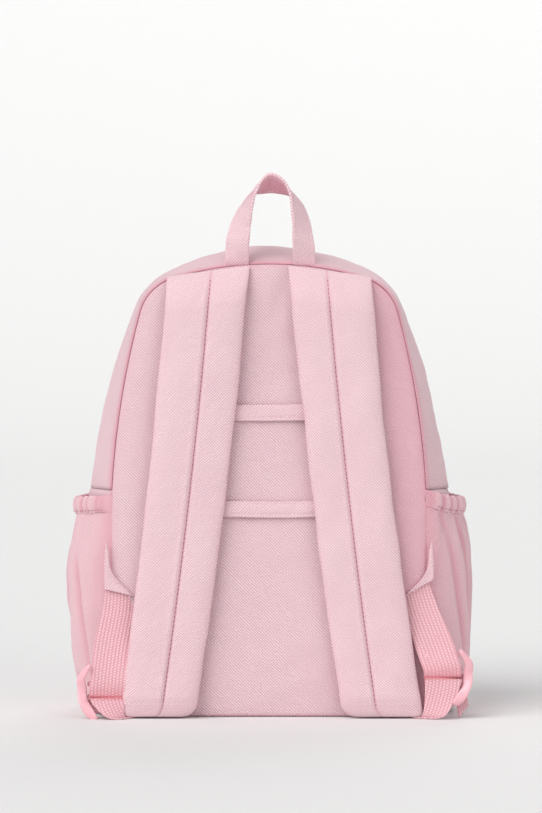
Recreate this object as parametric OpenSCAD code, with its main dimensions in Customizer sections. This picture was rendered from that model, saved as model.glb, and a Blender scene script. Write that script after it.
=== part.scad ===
// School backpack, standing upright on its flat base.
// X runs across the back, -Y is the side with the shoulder straps, +Y the side with the
// front pocket, and Z is up. The origin is the middle of the base. Sizes are in millimetres.
// Soft pieces are thick sheets between two grids of points; zip sliders, pulls and buckles
// are cut from plain solids.

/* [Body] */
// Height of the crown of the body above the base
body_h = 378; // [340:1:460]
// Width of the body at the ends of the main zip
body_w = 294; // [244:1:355]
// Depth from the seam of the back panel to the seam of the front panel
body_d = 130; // [108:1:160]
// Radius of the arch over the top
crown_r = 187; // [175:1:230]
// Radius of the arch's corners
corner_r = 56; // [46:1:68]
// Height where the main zip ends and the side panels begin
zip_end_h = 182; // [150:1:215]
// Thickness of the outer fabric with its lining
wall = 2; // [1.5:0.1:3]
// How far the front panel's outline lies inside the widest one
front_taper = 20; // [14:1:26]

/* [Back panel] */
// How far the sides stand out past the back panel's seam
side_bulge = 19; // [14:1:24]
// How far the crown rises above the back panel's seam
top_bulge = 13.5; // [10:0.5:17]
// Thickness of the back panel's foam
back_foam_t = 8; // [5:0.5:12]
// Thickness of one layer of fabric
cloth_t = 1; // [0.8:0.1:1.5]

/* [Shoulder straps] */
// Width of a strap where it is sewn in
strap_w = 65; // [52:1:78]
// Width of a strap at its lower end
strap_end_w = 58; // [48:1:70]
// Distance from the middle of the back to a strap's middle, at the top
strap_x = 48.4; // [42:0.1:58]
// How far a strap runs outwards on its way down
strap_spread = 40; // [33:1:48]
// Thickness of a strap's foam
strap_foam_t = 8; // [5:0.5:12]
// Gap between the back panel and a strap
strap_gap = 7.8; // [7.8:0.1:12]
// Height of a strap's lower end above the floor
strap_end_h = 4; // [4:0.5:12]

/* [Webbing and buckles] */
// Width of the adjuster webbing
webbing_w = 30; // [25:1:36]
// Thickness of the adjuster webbing
webbing_t = 1.4; // [1.2:0.1:1.8]
// Height of the webbing tab's lower edge
tab_h = 90; // [75:1:108]
// Length of the webbing tab up the side seam
tab_len = 54; // [45:1:65]
// Length of the ladder lock
lock_len = 45; // [38:1:52]
// Thickness of the ladder lock
lock_t = 4.5; // [3.5:0.5:6]

/* [Grab handle] */
// Height of the handle above the seam that holds it
handle_h = 71; // [60:1:86]
// Distance between the middles of the handle's two feet
handle_span = 54; // [46:1:64]
// Width of the handle's strap
handle_w = 20; // [16:1:24]
// Thickness of the handle's strap
handle_t = 3; // [2:0.5:4]

/* [Trolley bands] */
// Height of the upper band's middle above the base
upper_band_h = 244.5; // [215:0.5:290]
// Height of the lower band's middle above the base
lower_band_h = 167.5; // [140:0.5:200]
// Height of each band's strip
band_w = 13; // [11:1:20]
// Room between a band and the back panel
band_gap = 5; // [4.6:0.1:5.2]

/* [Side pockets] */
// Height of the pocket's gathered mouth above the base
pocket_h = 178; // [150:1:181]
// Height of the hem that holds the elastic
hem_h = 13.5; // [10:0.5:18]
// How far the mouth stands off the side of the body
mouth_swell = 10; // [8:1:14]
// How far the fullest part of the pocket stands off the side of the body
pocket_swell = 18; // [14:1:24]

/* [Front pocket] */
// Width of the front pocket
front_w = 200; // [165:1:215]
// Height of the front pocket's top above the base
front_top = 150; // [125:1:158]
// Height of the front pocket's lower edge above the base
front_low = 22; // [16:1:30]
// Depth of the front pocket
front_d = 30; // [24:1:40]

/* [Zips] */
// Distance of the main zip from the seam of the front panel
zip_back = 27; // [24:1:34]
// Width of the strip of tape and teeth that shows between the edges of fabric
zip_gap = 12; // [11.5:0.5:14]
// Length of a zip slider
slider_len = 12; // [10:0.5:14]
// Width of a zip slider
slider_w = 9; // [8:0.5:10]
// Length of a slider's pull
pull_len = 24; // [18:1:30]
// Radius of the pull's pin
pin_r = 0.95; // [0.8:0.05:1.1]
// Running clearance round the pin
pin_clear = 0.06; // [0.03:0.01:0.09]

/* [Hidden] */

gap = 0.3;                  // between neighbouring sewn pieces
base_t = 2;                 // thickness of the base fabric
board_t = 2;                // thickness of the stiffener on the base
back_y = -body_d / 2;       // rear edge of the gusset
front_y = body_d / 2;       // outer face of the front panel is one wall in front of this
cover_y = back_y - 0.2 - cloth_t;   // outer face of the back panel
crest_run = 45;             // from the back seam to the widest outline
crest_y = back_y + crest_run;
zip_y = front_y - zip_back;
crown_steps = 8;
corner_steps = 7;
side_steps = 7;

// An arch is [top, crown radius, crown angle, corner radius, corner angle, half width, side angle].
// The crown arc turns by the crown angle, the corner arc turns on to the corner angle, and a
// wide side arc turns on to the side angle, where the half width is reached. Below that the
// outline runs straight down.
crest_arch = [body_h, crown_r, 25.3, corner_r, 68, body_w / 2, 84];
back_crown_share = 1.42;    // the back panel's crown arc is this much wider than the widest one's
back_corner_less = 16;      // and its corners are this much tighter
back_arch = [body_h - top_bulge, crown_r * back_crown_share, 17, corner_r - back_corner_less, 75,
    body_w / 2 - side_bulge, 88];

function toward(angle) = [sin(angle), cos(angle)];
function inset(k, t) = k - t * [1, 1, 0, 1, 0, 1, 0];
function crown_centre(k) = [0, k[0] - k[1]];
function corner_centre(k) = crown_centre(k) + (k[1] - k[3]) * toward(k[2]);
function shoulder(k) = corner_centre(k) + k[3] * toward(k[4]);
function side_r(k) = (k[5] - shoulder(k)[0]) / (sin(k[6]) - sin(k[4]));
function side_centre(k) = shoulder(k) - side_r(k) * toward(k[4]);
function side_x(k, z) = let (c = side_centre(k), r = side_r(k))
    z < c[1] + r * cos(k[6]) ? k[5] : c[0] + sqrt(r * r - (z - c[1]) ^ 2);
function crown_z(k, x) = crown_centre(k)[1] + sqrt(k[1] ^ 2 - x ^ 2);

// Right half of an arch from the crown down to the height foot, then the whole arch from
// the left foot over the crown to the right foot.
function half_arch(k, foot) = concat(
    [for (i = [0:crown_steps - 1]) crown_centre(k) + k[1] * toward(k[2] * i / crown_steps)],
    [for (i = [0:corner_steps - 1])
        corner_centre(k) + k[3] * toward(k[2] + (k[4] - k[2]) * i / corner_steps)],
    [for (i = [0:side_steps]) let (z = shoulder(k)[1] + (foot - shoulder(k)[1]) * i / side_steps)
        [side_x(k, z), z]]);
function whole_arch(k, foot) = let (h = half_arch(k, foot))
    concat([for (i = [len(h) - 1:-1:1]) [-h[i][0], h[i][1]]], h);

// The body swells from the back seam to the widest outline and tapers to the front seam.
function swell(y) = sin(90 * min(1, (y - back_y) / crest_run));
function taper(y) = front_taper * (max(0, y - crest_y) / (front_y - crest_y)) ^ 2;
function mix(a, b, w) = (1 - w) * a + w * b;
function hoop(y, t, foot) = let (
    s = swell(y),
    c = whole_arch(inset(crest_arch, t + taper(y)), foot),
    p = s < 1 ? mix(whole_arch(inset(back_arch, t), foot), c, s) : c)
    [for (q = p) [q[0], y, q[1]]];
function wall_x(y, z, t) =
    mix(side_x(inset(back_arch, t), z), side_x(inset(crest_arch, t + taper(y)), z), swell(y));

// Depths of the hoops that the body is made of
rear_ys = concat([for (s = [0, 0.12, 0.3, 0.55, 0.78, 1]) back_y + s * crest_run],
    [for (i = [1:3]) mix(crest_y, zip_y - zip_gap / 2, i / 3)]);
front_ys = [for (i = [0:3]) mix(zip_y + zip_gap / 2, front_y - gap, i / 3)];
body_ys = concat(rear_ys, front_ys);
low_zs = [for (i = [0:5]) mix(zip_end_h, base_t + gap, i / 5)];

// A closed solid between two grids of points, rows by columns, with walls round the edge.
module sheet(over, under) {
    rows = len(over);
    cols = len(over[0]);
    count = rows * cols;
    r0 = floor((rows - 1) / 2);
    c0 = floor((cols - 1) / 2);
    across = cross(over[r0][c0 + 1] - over[r0][c0], over[r0 + 1][c0] - over[r0][c0]);
    outward = across * (over[r0][c0] - under[r0][c0]) > 0;
    over_faces = [for (r = [0:rows - 2], c = [0:cols - 2]) let (a = r * cols + c)
        each [[a, a + cols, a + cols + 1], [a, a + cols + 1, a + 1]]];
    rim = concat([for (c = [0:cols - 1]) c], [for (r = [1:rows - 1]) r * cols + cols - 1],
        [for (c = [cols - 2:-1:0]) (rows - 1) * cols + c], [for (r = [rows - 2:-1:1]) r * cols]);
    n = len(rim);
    faces = concat(over_faces, [for (f = over_faces) count * [1, 1, 1] + [f[0], f[2], f[1]]],
        [for (i = [0:n - 1]) let (a = rim[i], b = rim[(i + 1) % n])
            each [[a, b, b + count], [a, b + count, a + count]]]);
    polyhedron(concat([for (r = over) each r], [for (r = under) each r]),
        outward ? faces : [for (f = faces) [f[0], f[2], f[1]]]);
}

// A flat ribbon along points, each with the direction of its width.
module ribbon(points, sides, width, thick) {
    n = len(points);
    ups = [for (i = [0:n - 1]) let (
        t = points[min(n - 1, i + 1)] - points[max(0, i - 1)], u = cross(t, sides[i])) u / norm(u)];
    skins = [for (way = [0.5, -0.5]) [for (i = [0:n - 1]) [for (e = [-0.5, 0.5])
        points[i] + ups[i] * thick * way + sides[i] * width * e]]];
    sheet(skins[0], skins[1]);
}

// A plate in the XZ plane, from y to y + t.
module plate(y, t) {
    translate([0, y + t, 0]) rotate([90, 0, 0]) linear_extrude(t) children();
}

module right_and_left(left) {
    if (left) mirror([1, 0, 0]) children();
    else children();
}

// ---- colours ----
pink = [0.93, 0.76, 0.79];
shade = [0.87, 0.70, 0.74];
bright = [0.95, 0.66, 0.72];
foam_grey = [0.92, 0.92, 0.90];
moulded = [0.94, 0.58, 0.66];

// ---- back panel ----
module back_panel_cover() {
    color(shade) plate(cover_y, cloth_t) polygon(whole_arch(back_arch, 0));
}

module back_panel_foam() {
    color(foam_grey) plate(back_y, back_foam_t)
        polygon(whole_arch(inset(back_arch, wall + gap), base_t + board_t + 2 * gap));
}

module back_panel_lining() {
    color(shade) plate(back_y + back_foam_t + gap, cloth_t)
        polygon(whole_arch(inset(back_arch, wall + gap), base_t + board_t + 2 * gap));
}

// Tape sewn over the raw edges of a seam, inside the body
binding_w = 6;
module binding(k, y, foot) {
    color(bright) plate(y, cloth_t) difference() {
        polygon(whole_arch(inset(k, wall + gap), foot));
        polygon(whole_arch(inset(k, wall + gap + binding_w), foot - 1));
    }
}

module rear_seam_binding() {
    binding(back_arch, back_y + back_foam_t + cloth_t + 2 * gap, base_t + board_t + 2 * gap);
}

module front_seam_binding() {
    binding(inset(crest_arch, front_taper), front_y - gap - cloth_t, zip_end_h + gap);
}

// ---- shell of the body ----
module gusset(ys) {
    foot = zip_end_h + gap;
    color(pink) sheet([for (y = ys) hoop(y, 0, foot)], [for (y = ys) hoop(y, wall, foot)]);
}

module side_panel(left) {
    color(pink) right_and_left(left) sheet(
        [for (y = body_ys) [for (z = low_zs) [wall_x(y, z, 0), y, z]]],
        [for (y = body_ys) [for (z = low_zs) [wall_x(y, z, wall), y, z]]]);
}

module base_outline(t) {
    ends = concat([[wall_x(back_y, 0, t), cover_y + t]], [for (y = body_ys) [wall_x(y, 0, t), y]],
        [[wall_x(front_y, 0, t), front_y + wall - t]]);
    polygon(concat(ends, [for (i = [len(ends) - 1:-1:0]) [-ends[i][0], ends[i][1]]]));
}

module base_panel() {
    color(pink) linear_extrude(base_t) difference() {
        base_outline(0);
        translate([-body_w, cover_y - body_d]) square([2 * body_w, body_d + cloth_t + gap]);
    }
}

module base_board() {
    color(foam_grey) translate([0, 0, base_t + gap]) linear_extrude(board_t) intersection() {
        base_outline(wall + gap);
        translate([-body_w, back_y + gap]) square([2 * body_w, body_d - 2 * gap]);
    }
}

front_arch = inset(crest_arch, front_taper);
module front_panel_lower() {
    side = [for (z = low_zs) [side_x(front_arch, z), z]];
    color(pink) plate(front_y, wall)
        polygon(concat(side, [for (i = [len(side) - 1:-1:0]) [-side[i][0], side[i][1]]]));
}

module front_panel_upper() {
    color(pink) plate(front_y, wall) polygon(whole_arch(front_arch, zip_end_h + gap));
}

// ---- main zip ----
tape_t = 1.2;
coil_h = 1.4;
coil_w = 2;
tape_under = 6;             // how far the tape runs in under the edge of the fabric

// One half of the zip: tape under the fabric's edge, with a raised row of teeth at its free edge.
module zip_half(y_edge, way) {
    foot = zip_end_h + gap;
    in = wall + gap;
    ys = [for (d = [zip_gap / 2 + tape_under, coil_w + 0.2, coil_w, 0.1]) y_edge - way * d];
    over = [for (i = [0:3]) hoop(ys[i], in - (i > 1 ? coil_h : 0), foot)];
    color(bright) sheet(over, [for (y = ys) hoop(y, in + tape_t, foot)]);
}

module main_zip_rear_tape() {
    zip_half(zip_y, 1);
}

module main_zip_front_tape() {
    zip_half(zip_y, -1);
}

module zip_end_tab(left) {
    ys = [for (i = [-1:1]) zip_y + i * (zip_gap / 2 + 2)];
    zs = [zip_end_h - gap, zip_end_h - 6, zip_end_h - 12];
    color(pink) right_and_left(left) sheet(
        [for (y = ys) [for (z = zs) [wall_x(y, z, 0) + 2 * gap + cloth_t, y, z]]],
        [for (y = ys) [for (z = zs) [wall_x(y, z, 0) + 2 * gap, y, z]]]);
}

// Slider in its own frame: the zip runs along X, the teeth's top is z = 0, and the pull's
// pin turns in two lugs near one end.
slider_rise = 0.8;
plate_t = 1.8;
lug_x = slider_len / 4;
lug_gap = 4.8;
lug_t = 1.3;
lug_r = 2;
pin_z = slider_rise + plate_t + 1.5;
slider_lean = 17;           // the zip's strip slopes down towards the front
module slider() {
    color(bright) {
        translate([-slider_len / 2, -slider_w / 2, slider_rise])
            cube([slider_len, slider_w, plate_t]);
        for (side = [0, 1]) mirror([0, side, 0]) translate([lug_x, lug_gap / 2, 0]) difference() {
            union() {
                translate([-lug_r, 0, slider_rise + plate_t - 0.5]) cube([2 * lug_r, lug_t, lug_r]);
                translate([0, 0, pin_z]) rotate([-90, 0, 0]) cylinder(r = lug_r, h = lug_t, $fn = 32);
            }
            translate([0, -1, pin_z]) rotate([-90, 0, 0])
                cylinder(r = pin_r + pin_clear, h = lug_t + 2, $fn = 32);
        }
    }
}

module pull() {
    neck_w = lug_gap - 0.6;
    neck_len = 6;
    grip_w = 7.2;
    grip_start = 4;
    pull_t = 1.4;
    color(bright) translate([lug_x, 0, pin_z]) {
        translate([0, -lug_gap / 2 - lug_t, 0]) rotate([-90, 0, 0])
            cylinder(r = pin_r, h = lug_gap + 2 * lug_t, $fn = 32);
        translate([0, -neck_w / 2, -pull_t / 2]) cube([neck_len, neck_w, pull_t]);
        translate([grip_start, -grip_w / 2, -pull_t / 2]) cube([pull_len - grip_start, grip_w, pull_t]);
    }
}

// Puts a slider or a pull on the main zip, turned round the arch's centre by angle.
slider_angle = asin((slider_len / 2 + 0.8) / (crown_r - taper(zip_y) - wall));
module on_main_zip(left) {
    teeth_r = crown_r - taper(zip_y) - wall - gap + coil_h;
    right_and_left(left) translate([0, 0, body_h - crown_r]) rotate([0, slider_angle, 0])
        translate([0, zip_y, teeth_r]) rotate([-slider_lean, 0, 0]) children();
}

// ---- side pockets ----
// The pocket stands off the side by a quick rise from the base, is fullest between the two
// heights, and draws in from there to the mouth.
full_from = 60;
full_to = 100;
function pocket_out(z) =
    z < full_from ? pocket_swell * (max(0, z - base_t - gap) / (full_from - base_t - gap)) ^ 0.5
    : z > full_to ? mix(pocket_swell, mouth_swell, (z - full_to) / (pocket_h - full_to)) : pocket_swell;
pocket_rows = 12;
pocket_ys = [for (i = [0:pocket_rows]) mix(back_y + 1, front_y - 2, i / pocket_rows)];
function pocket_x(y, z, t) = let (s = (y - back_y - 1) / (body_d - 3))
    wall_x(y, z, 0) + 2 * gap + t + pocket_out(z) * sin(180 * s) ^ 0.6;

module pocket_sheet(left, zs, t) {
    right_and_left(left) sheet([for (y = pocket_ys) [for (z = zs) [pocket_x(y, z, t), y, z]]],
        [for (y = pocket_ys) [for (z = zs) [pocket_x(y, z, 0), y, z]]]);
}

module side_pocket(left) {
    top = pocket_h - hem_h - gap;
    zs = [base_t + gap, 6, 14, 30, full_from, full_to, mix(full_to, top, 0.5), top];
    color(pink) pocket_sheet(left, zs, cloth_t);
}

hem_t = 3;                  // the hem is doubled round the elastic
module pocket_elastic(left) {
    color(pink) pocket_sheet(left, [pocket_h - hem_h, pocket_h - hem_h / 2, pocket_h], hem_t);
}

// ---- trolley bands ----
// Each band is flat on the panel at its ends, under the straps, and stands off between them.
band_t = 1.8;
module trolley_band(h) {
    xs = [-66, -57, -48, 0, 48, 57, 66];
    lift = [gap, gap, band_gap, band_gap, band_gap, gap, gap];
    color(pink) sheet(
        [for (i = [0:6]) [for (e = [-0.5, 0.5]) [xs[i], cover_y - lift[i] - band_t, h + e * band_w]]],
        [for (i = [0:6]) [for (e = [-0.5, 0.5]) [xs[i], cover_y - lift[i], h + e * band_w]]]);
}

// ---- grab handle ----
handle_seam = crown_z(back_arch, (handle_span - handle_w) / 2) + gap;
handle_y = cover_y - gap - handle_t / 2;
handle_steps = 14;
handle_draw = 0.12;         // the legs lean towards each other by this share of their distance
handle_lean = 2;            // the top leans back over the straps
rim_tilt = [-0.57, 0.82];   // Y and Z of the strap's width at the top
// The strap rises from one foot and turns over the top. The edges that face each other at the
// feet become one rim at the top, nearer the straps and higher than the other edge.
handle_top = handle_h - handle_w / 2 * rim_tilt[1];
function handle_point(a) = [-handle_span / 2 * cos(a) * (1 - handle_draw * sin(a)),
    handle_y - handle_lean * sin(a), handle_seam + handle_top * sin(a) ^ 0.6];
function handle_side(a) = let (v = [cos(a), rim_tilt[0] * sin(a), rim_tilt[1] * sin(a)]) v / norm(v);
module grab_handle() {
    turns = [for (i = [0:handle_steps]) 180 * i / handle_steps];
    color(pink) ribbon([for (a = turns) handle_point(a)], [for (a = turns) handle_side(a)],
        handle_w, handle_t);
}

// ---- shoulder straps ----
strap_top = crown_z(back_arch, strap_x) - 6;
strap_len = strap_top - strap_end_h;
ease = 35;                  // the strap leaves the seam and reaches its full thickness in this length
end_thin = 14;              // and thins out again over this length at its lower end
strap_curve = 0.28;         // share of the outward run that grows with the square of the distance
foam_top = 0.25;            // share of the foam left at the seam
foam_end = 0.35;            // and at the lower end
function strap_mid(s) = let (t = s / strap_len)
    strap_x + strap_spread * ((1 - strap_curve) * t + strap_curve * t * t);
function strap_half(s) = mix(strap_w, strap_end_w, s / strap_len) / 2;
function rise(s) = sin(90 * min(1, s / ease));
function strap_lift(s) = mix(gap, strap_gap, rise(s));
function foam_at(s) = strap_foam_t
    * min(mix(foam_top, 1, rise(s)), mix(1, foam_end, max(0, 1 - (strap_len - s) / end_thin)));
function strap_point(s, e, depth) = let (x = strap_mid(s) + e * strap_half(s),
    drop = crown_z(back_arch, strap_x) - crown_z(back_arch, min(x, crown_r * 0.5)))
    [x, cover_y - strap_lift(s) - depth, strap_top - s - drop * (1 - s / strap_len)];
strap_rows = concat([0, ease / 3, ease * 0.63, ease],
    [for (i = [1:5]) mix(ease, strap_len - end_thin, i / 5)], [strap_len - end_thin / 2, strap_len]);

module strap_layer(left, rows, edge, d0, d1) {
    es = [-1, -0.33, 0.33, 1] * edge;
    right_and_left(left) sheet(
        [for (s = rows) [for (e = es) strap_point(s, e, d0 + d1 * foam_at(s) + cloth_t)]],
        [for (s = rows) [for (e = es) strap_point(s, e, d0 + d1 * foam_at(s))]]);
}

module strap_back(left) {
    color(shade) strap_layer(left, strap_rows, 1, 0, 0);
}

module strap_front(left) {
    color(pink) strap_layer(left, strap_rows, 1, cloth_t + 0.5, 1);
}

foam_share = 0.92;          // the foam stops short of the strap's edges
module strap_foam(left) {
    rows = [for (s = strap_rows) min(max(s, 6), strap_len - 5)];
    es = [-1, -0.33, 0.33, 1] * foam_share;
    color(foam_grey) right_and_left(left) sheet(
        [for (s = rows) [for (e = es) strap_point(s, e, cloth_t + 0.1 + foam_at(s))]],
        [for (s = rows) [for (e = es) strap_point(s, e, cloth_t + 0.1)]]);
}

// ---- webbing, tabs and ladder locks, described for the right-hand side ----
strap_end_x = strap_mid(strap_len) + strap_half(strap_len);
lock_rail = 3.5;
lock_w = webbing_w + 1 + 2 * lock_rail;
lock_x = strap_end_x + lock_w / 2 + 1.5;
lock_y = cover_y - strap_gap - 6;    // the locks hang beside the straps, level with their foam
lock_lean = 2;
lock_bar = 4;
loop_y = cover_y - strap_gap + 0.4 + webbing_t / 2;
web_front_y = lock_y - lock_t / 2 - 0.4 - webbing_t / 2;
tab_x = wall_x(back_y, tab_h, 0) + 4;

tab_t = 2.4;
module webbing_tab(left) {
    inner = tab_x - webbing_w * 0.87;
    color(pink) right_and_left(left) plate(cover_y - gap - tab_t, tab_t) polygon([
        [tab_x, tab_h], [tab_x, tab_h + tab_len], [tab_x - 6, tab_h + tab_len],
        [inner, tab_h + 8], [inner, tab_h]]);
}

// Middle of the webbing under the tab and at the ladder lock. It stays close to the panel as it
// passes the strap's edge, and comes forward to the lock at its lower end.
web_top = [tab_x - webbing_w / 2 + 3, cover_y - gap - tab_t / 2, tab_h - 1.5];
web_low = [lock_x, web_front_y, lock_len + 2];
web_bend = 3.5;
module adjuster_webbing(left) {
    shares = [0, 0.6, 0.85, 1];
    points = [for (t = shares) let (p = mix(web_top, web_low, t))
        [p[0], mix(web_top[1], web_low[1], t ^ web_bend), p[2]]];
    color(bright) right_and_left(left)
        ribbon(points, [for (p = points) [1, 0, 0]], webbing_w - 1, webbing_t);
}

// The webbing's end runs over the lock, goes in between its bars and shows behind it as a short
// slanting end.
module webbing_tail(left) {
    side = [cos(lock_lean), 0, sin(lock_lean)];
    slant = [cos(38), 0, sin(38)];
    fold_h = lock_len * 0.45;
    end_y = lock_y + lock_t / 2 + 1.2;
    color(bright) right_and_left(left) {
        ribbon([[lock_x, web_front_y, lock_len], [lock_x, web_front_y, fold_h]],
            [side, side], webbing_w - 1, webbing_t);
        ribbon([[lock_x + 2, end_y, fold_h], [lock_x + 8, end_y, fold_h - 4]],
            [slant, slant], webbing_w - 8, webbing_t);
    }
}

module strap_end_loop(left) {
    lift = webbing_t / 2 + 0.4;
    mouth = lock_len * 0.4;
    points = [[strap_end_x - 14, loop_y, 30], [strap_end_x - 13, loop_y, 9],
        [strap_end_x - 12, loop_y + 0.4, lift + 1.2], [strap_end_x - 10, loop_y - 1, lift],
        [strap_end_x - 2, mix(loop_y, web_front_y, 0.5), lift],
        [lock_x - 8, mix(loop_y, web_front_y, 0.85), lift + 0.4],
        [lock_x - 3, web_front_y - 1.4, 7], [lock_x, web_front_y - 1, mouth]];
    color(bright) right_and_left(left)
        ribbon(points, [for (p = points) [1, 0, 0]], webbing_w - 4, webbing_t);
}

// Two side rails and four bars; the webbing runs over the middle bars.
module ladder_lock(left) {
    foot = 4.2;
    color(moulded) right_and_left(left) translate([lock_x, lock_y, 0]) rotate([0, lock_lean, 0]) {
        for (side = [0, 1]) mirror([side, 0, 0])
            translate([lock_w / 2 - lock_rail, -lock_t / 2, foot])
                cube([lock_rail, lock_t, lock_len - foot]);
        for (f = [0, 0.3, 0.6, 1])
            translate([0, 0, foot + lock_bar / 2 + f * (lock_len - foot - lock_bar)])
                rotate([0, 90, 0])
                    cylinder(r = lock_bar / 2, h = lock_w - lock_rail, center = true, $fn = 32);
    }
}

// ---- front pocket ----
face_t = 1.8;
front_gap_y = front_y + wall + gap;
face_y = front_y + wall + front_d - face_t;
pocket_r = 18;
strip_y = face_y - 6;
lip_t = 2;
tape_half = 4.8;
module rounded(x, low, top, r) {
    centres = [[x - r, top - r], [r - x, top - r], [r - x, low + r], [x - r, low + r]];
    polygon([for (q = [0:3], i = [0:6]) centres[q] + r * [cos(90 * q + 15 * i), sin(90 * q + 15 * i)]]);
}

module front_pocket_face() {
    color(pink) plate(face_y, face_t) rounded(front_w / 2, front_low, front_top, pocket_r);
}

module front_pocket_gusset() {
    slot = front_w / 2 - pocket_r;
    color(pink) difference() {
        plate(front_gap_y, face_y - gap - front_gap_y) difference() {
            rounded(front_w / 2, front_low, front_top, pocket_r);
            rounded(front_w / 2 - wall, front_low + wall, front_top - wall, pocket_r - wall);
        }
        translate([-slot, front_gap_y - 1, front_top - 5])
            cube([2 * slot, strip_y - front_gap_y + 1, 10]);
    }
}

lip_half = front_w / 2 - pocket_r - 0.5;
lip_edge = strip_y - 2 * tape_half - 2 * gap;
module front_pocket_lip() {
    color(pink) translate([-lip_half, front_gap_y + 0.3, front_top - lip_t])
        cube([2 * lip_half, lip_edge - front_gap_y - 0.3, lip_t]);
}

module pocket_tape(y0, y1, teeth_low) {
    color(bright) {
        translate([-lip_half, y0, front_top - lip_t - gap]) cube([2 * lip_half, y1 - y0, tape_t]);
        translate([-lip_half, teeth_low ? y0 : y1 - coil_w, front_top - lip_t - gap + tape_t - 0.1])
            cube([2 * lip_half, coil_w, coil_h]);
    }
}

module pocket_zip_lip_tape() {
    pocket_tape(lip_edge + gap, lip_edge + gap + tape_half, false);
}

module pocket_zip_front_tape() {
    pocket_tape(lip_edge + 2 * gap + tape_half, strip_y - 0.1, true);
}

pocket_zip_y = lip_edge + 1.5 * gap + tape_half;
pocket_zip_top = front_top - lip_t - gap + tape_t + coil_h;
module on_pocket_zip() {
    translate([lip_half - slider_len - pull_len, pocket_zip_y, pocket_zip_top]) children();
}

back_panel_cover();
back_panel_foam();
back_panel_lining();
rear_seam_binding();
gusset(rear_ys);  // rear_gusset
side_panel(true);  // side_panel_left
side_panel(false);  // side_panel_right
base_panel();
base_board();
front_panel_lower();
front_panel_upper();
gusset(front_ys);  // front_gusset
front_seam_binding();
main_zip_rear_tape();
main_zip_front_tape();
zip_end_tab(true);  // zip_end_tab_left
zip_end_tab(false);  // zip_end_tab_right
on_main_zip(true) slider();  // main_slider_left
on_main_zip(false) slider();  // main_slider_right
on_main_zip(true) pull();  // main_pull_left
on_main_zip(false) pull();  // main_pull_right
side_pocket(true);  // side_pocket_left
side_pocket(false);  // side_pocket_right
pocket_elastic(true);  // pocket_elastic_left
pocket_elastic(false);  // pocket_elastic_right
trolley_band(upper_band_h);  // trolley_band_upper
trolley_band(lower_band_h);  // trolley_band_lower
webbing_tab(true);  // webbing_tab_left
webbing_tab(false);  // webbing_tab_right
grab_handle();
strap_front(true);  // strap_front_left
strap_front(false);  // strap_front_right
strap_foam(true);  // strap_foam_left
strap_foam(false);  // strap_foam_right
strap_back(true);  // strap_back_left
strap_back(false);  // strap_back_right
strap_end_loop(true);  // strap_end_loop_left
strap_end_loop(false);  // strap_end_loop_right
ladder_lock(true);  // ladder_lock_left
ladder_lock(false);  // ladder_lock_right
webbing_tail(true);  // webbing_tail_left
webbing_tail(false);  // webbing_tail_right
adjuster_webbing(true);  // adjuster_webbing_left
adjuster_webbing(false);  // adjuster_webbing_right
front_pocket_face();
front_pocket_gusset();
front_pocket_lip();
pocket_zip_front_tape();
pocket_zip_lip_tape();
on_pocket_zip() slider();  // pocket_slider
on_pocket_zip() pull();  // pocket_pull
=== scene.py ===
# School backpack seen from the side with the shoulder straps. Lengths are in millimetres until a
# mesh is made; x runs across the back, y from the straps to the front pocket, z is up.
import bpy
import numpy as np
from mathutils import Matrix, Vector


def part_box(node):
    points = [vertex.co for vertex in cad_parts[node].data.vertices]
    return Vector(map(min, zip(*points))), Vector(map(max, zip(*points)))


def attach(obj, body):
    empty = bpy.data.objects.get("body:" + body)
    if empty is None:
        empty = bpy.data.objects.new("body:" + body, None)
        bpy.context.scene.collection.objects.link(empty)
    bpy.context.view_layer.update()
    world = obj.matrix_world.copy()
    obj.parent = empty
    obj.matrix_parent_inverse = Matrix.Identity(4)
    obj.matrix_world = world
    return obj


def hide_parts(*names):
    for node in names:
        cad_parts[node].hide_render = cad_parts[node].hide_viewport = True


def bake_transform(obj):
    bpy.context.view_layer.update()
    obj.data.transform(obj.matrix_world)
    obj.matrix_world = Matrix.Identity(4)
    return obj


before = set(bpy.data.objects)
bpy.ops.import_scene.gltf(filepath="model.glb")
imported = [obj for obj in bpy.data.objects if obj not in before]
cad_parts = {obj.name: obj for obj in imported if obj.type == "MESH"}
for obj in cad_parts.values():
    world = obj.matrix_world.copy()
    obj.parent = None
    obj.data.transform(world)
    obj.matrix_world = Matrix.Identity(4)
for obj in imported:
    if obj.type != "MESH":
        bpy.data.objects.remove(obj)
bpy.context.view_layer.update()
print("frame loaded,", len(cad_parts), "nodes")


def boxMm(node):
    # lowest and highest corner of a node, in millimetres
    low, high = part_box(node)
    return np.array(low) * 1000, np.array(high) * 1000


# camera, lights and floor
studio = {
    "target": (1.6, -66, 249), "distance": 3000, "elevation": 1.6, "viewHeight": 650, "sensor": 36,
    "paper": (0.805, 0.805, 0.805), "worldLight": 0.40,
    "floorRadius": 4600, "rimRadius": 4000, "rimTurn": 50,
    "key": {"place": (-1.6, -1.7, 2.3), "softness": 50, "power": 2.1, "colour": (1, 0.99, 0.98)},
    "front": {"place": (1.6, -2.0, 0.6), "softness": 50, "power": 1.2, "colour": (1, 1, 1)},
    "back": {"place": (0.5, 2.0, 1.5), "softness": 45, "power": 0.7, "colour": (1, 1, 1)},
}


def aimAt(thing, place, target):
    thing.location = place
    thing.rotation_mode = "QUATERNION"
    thing.rotation_quaternion = (Vector(target) - Vector(place)).to_track_quat("-Z", "Y")


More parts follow.
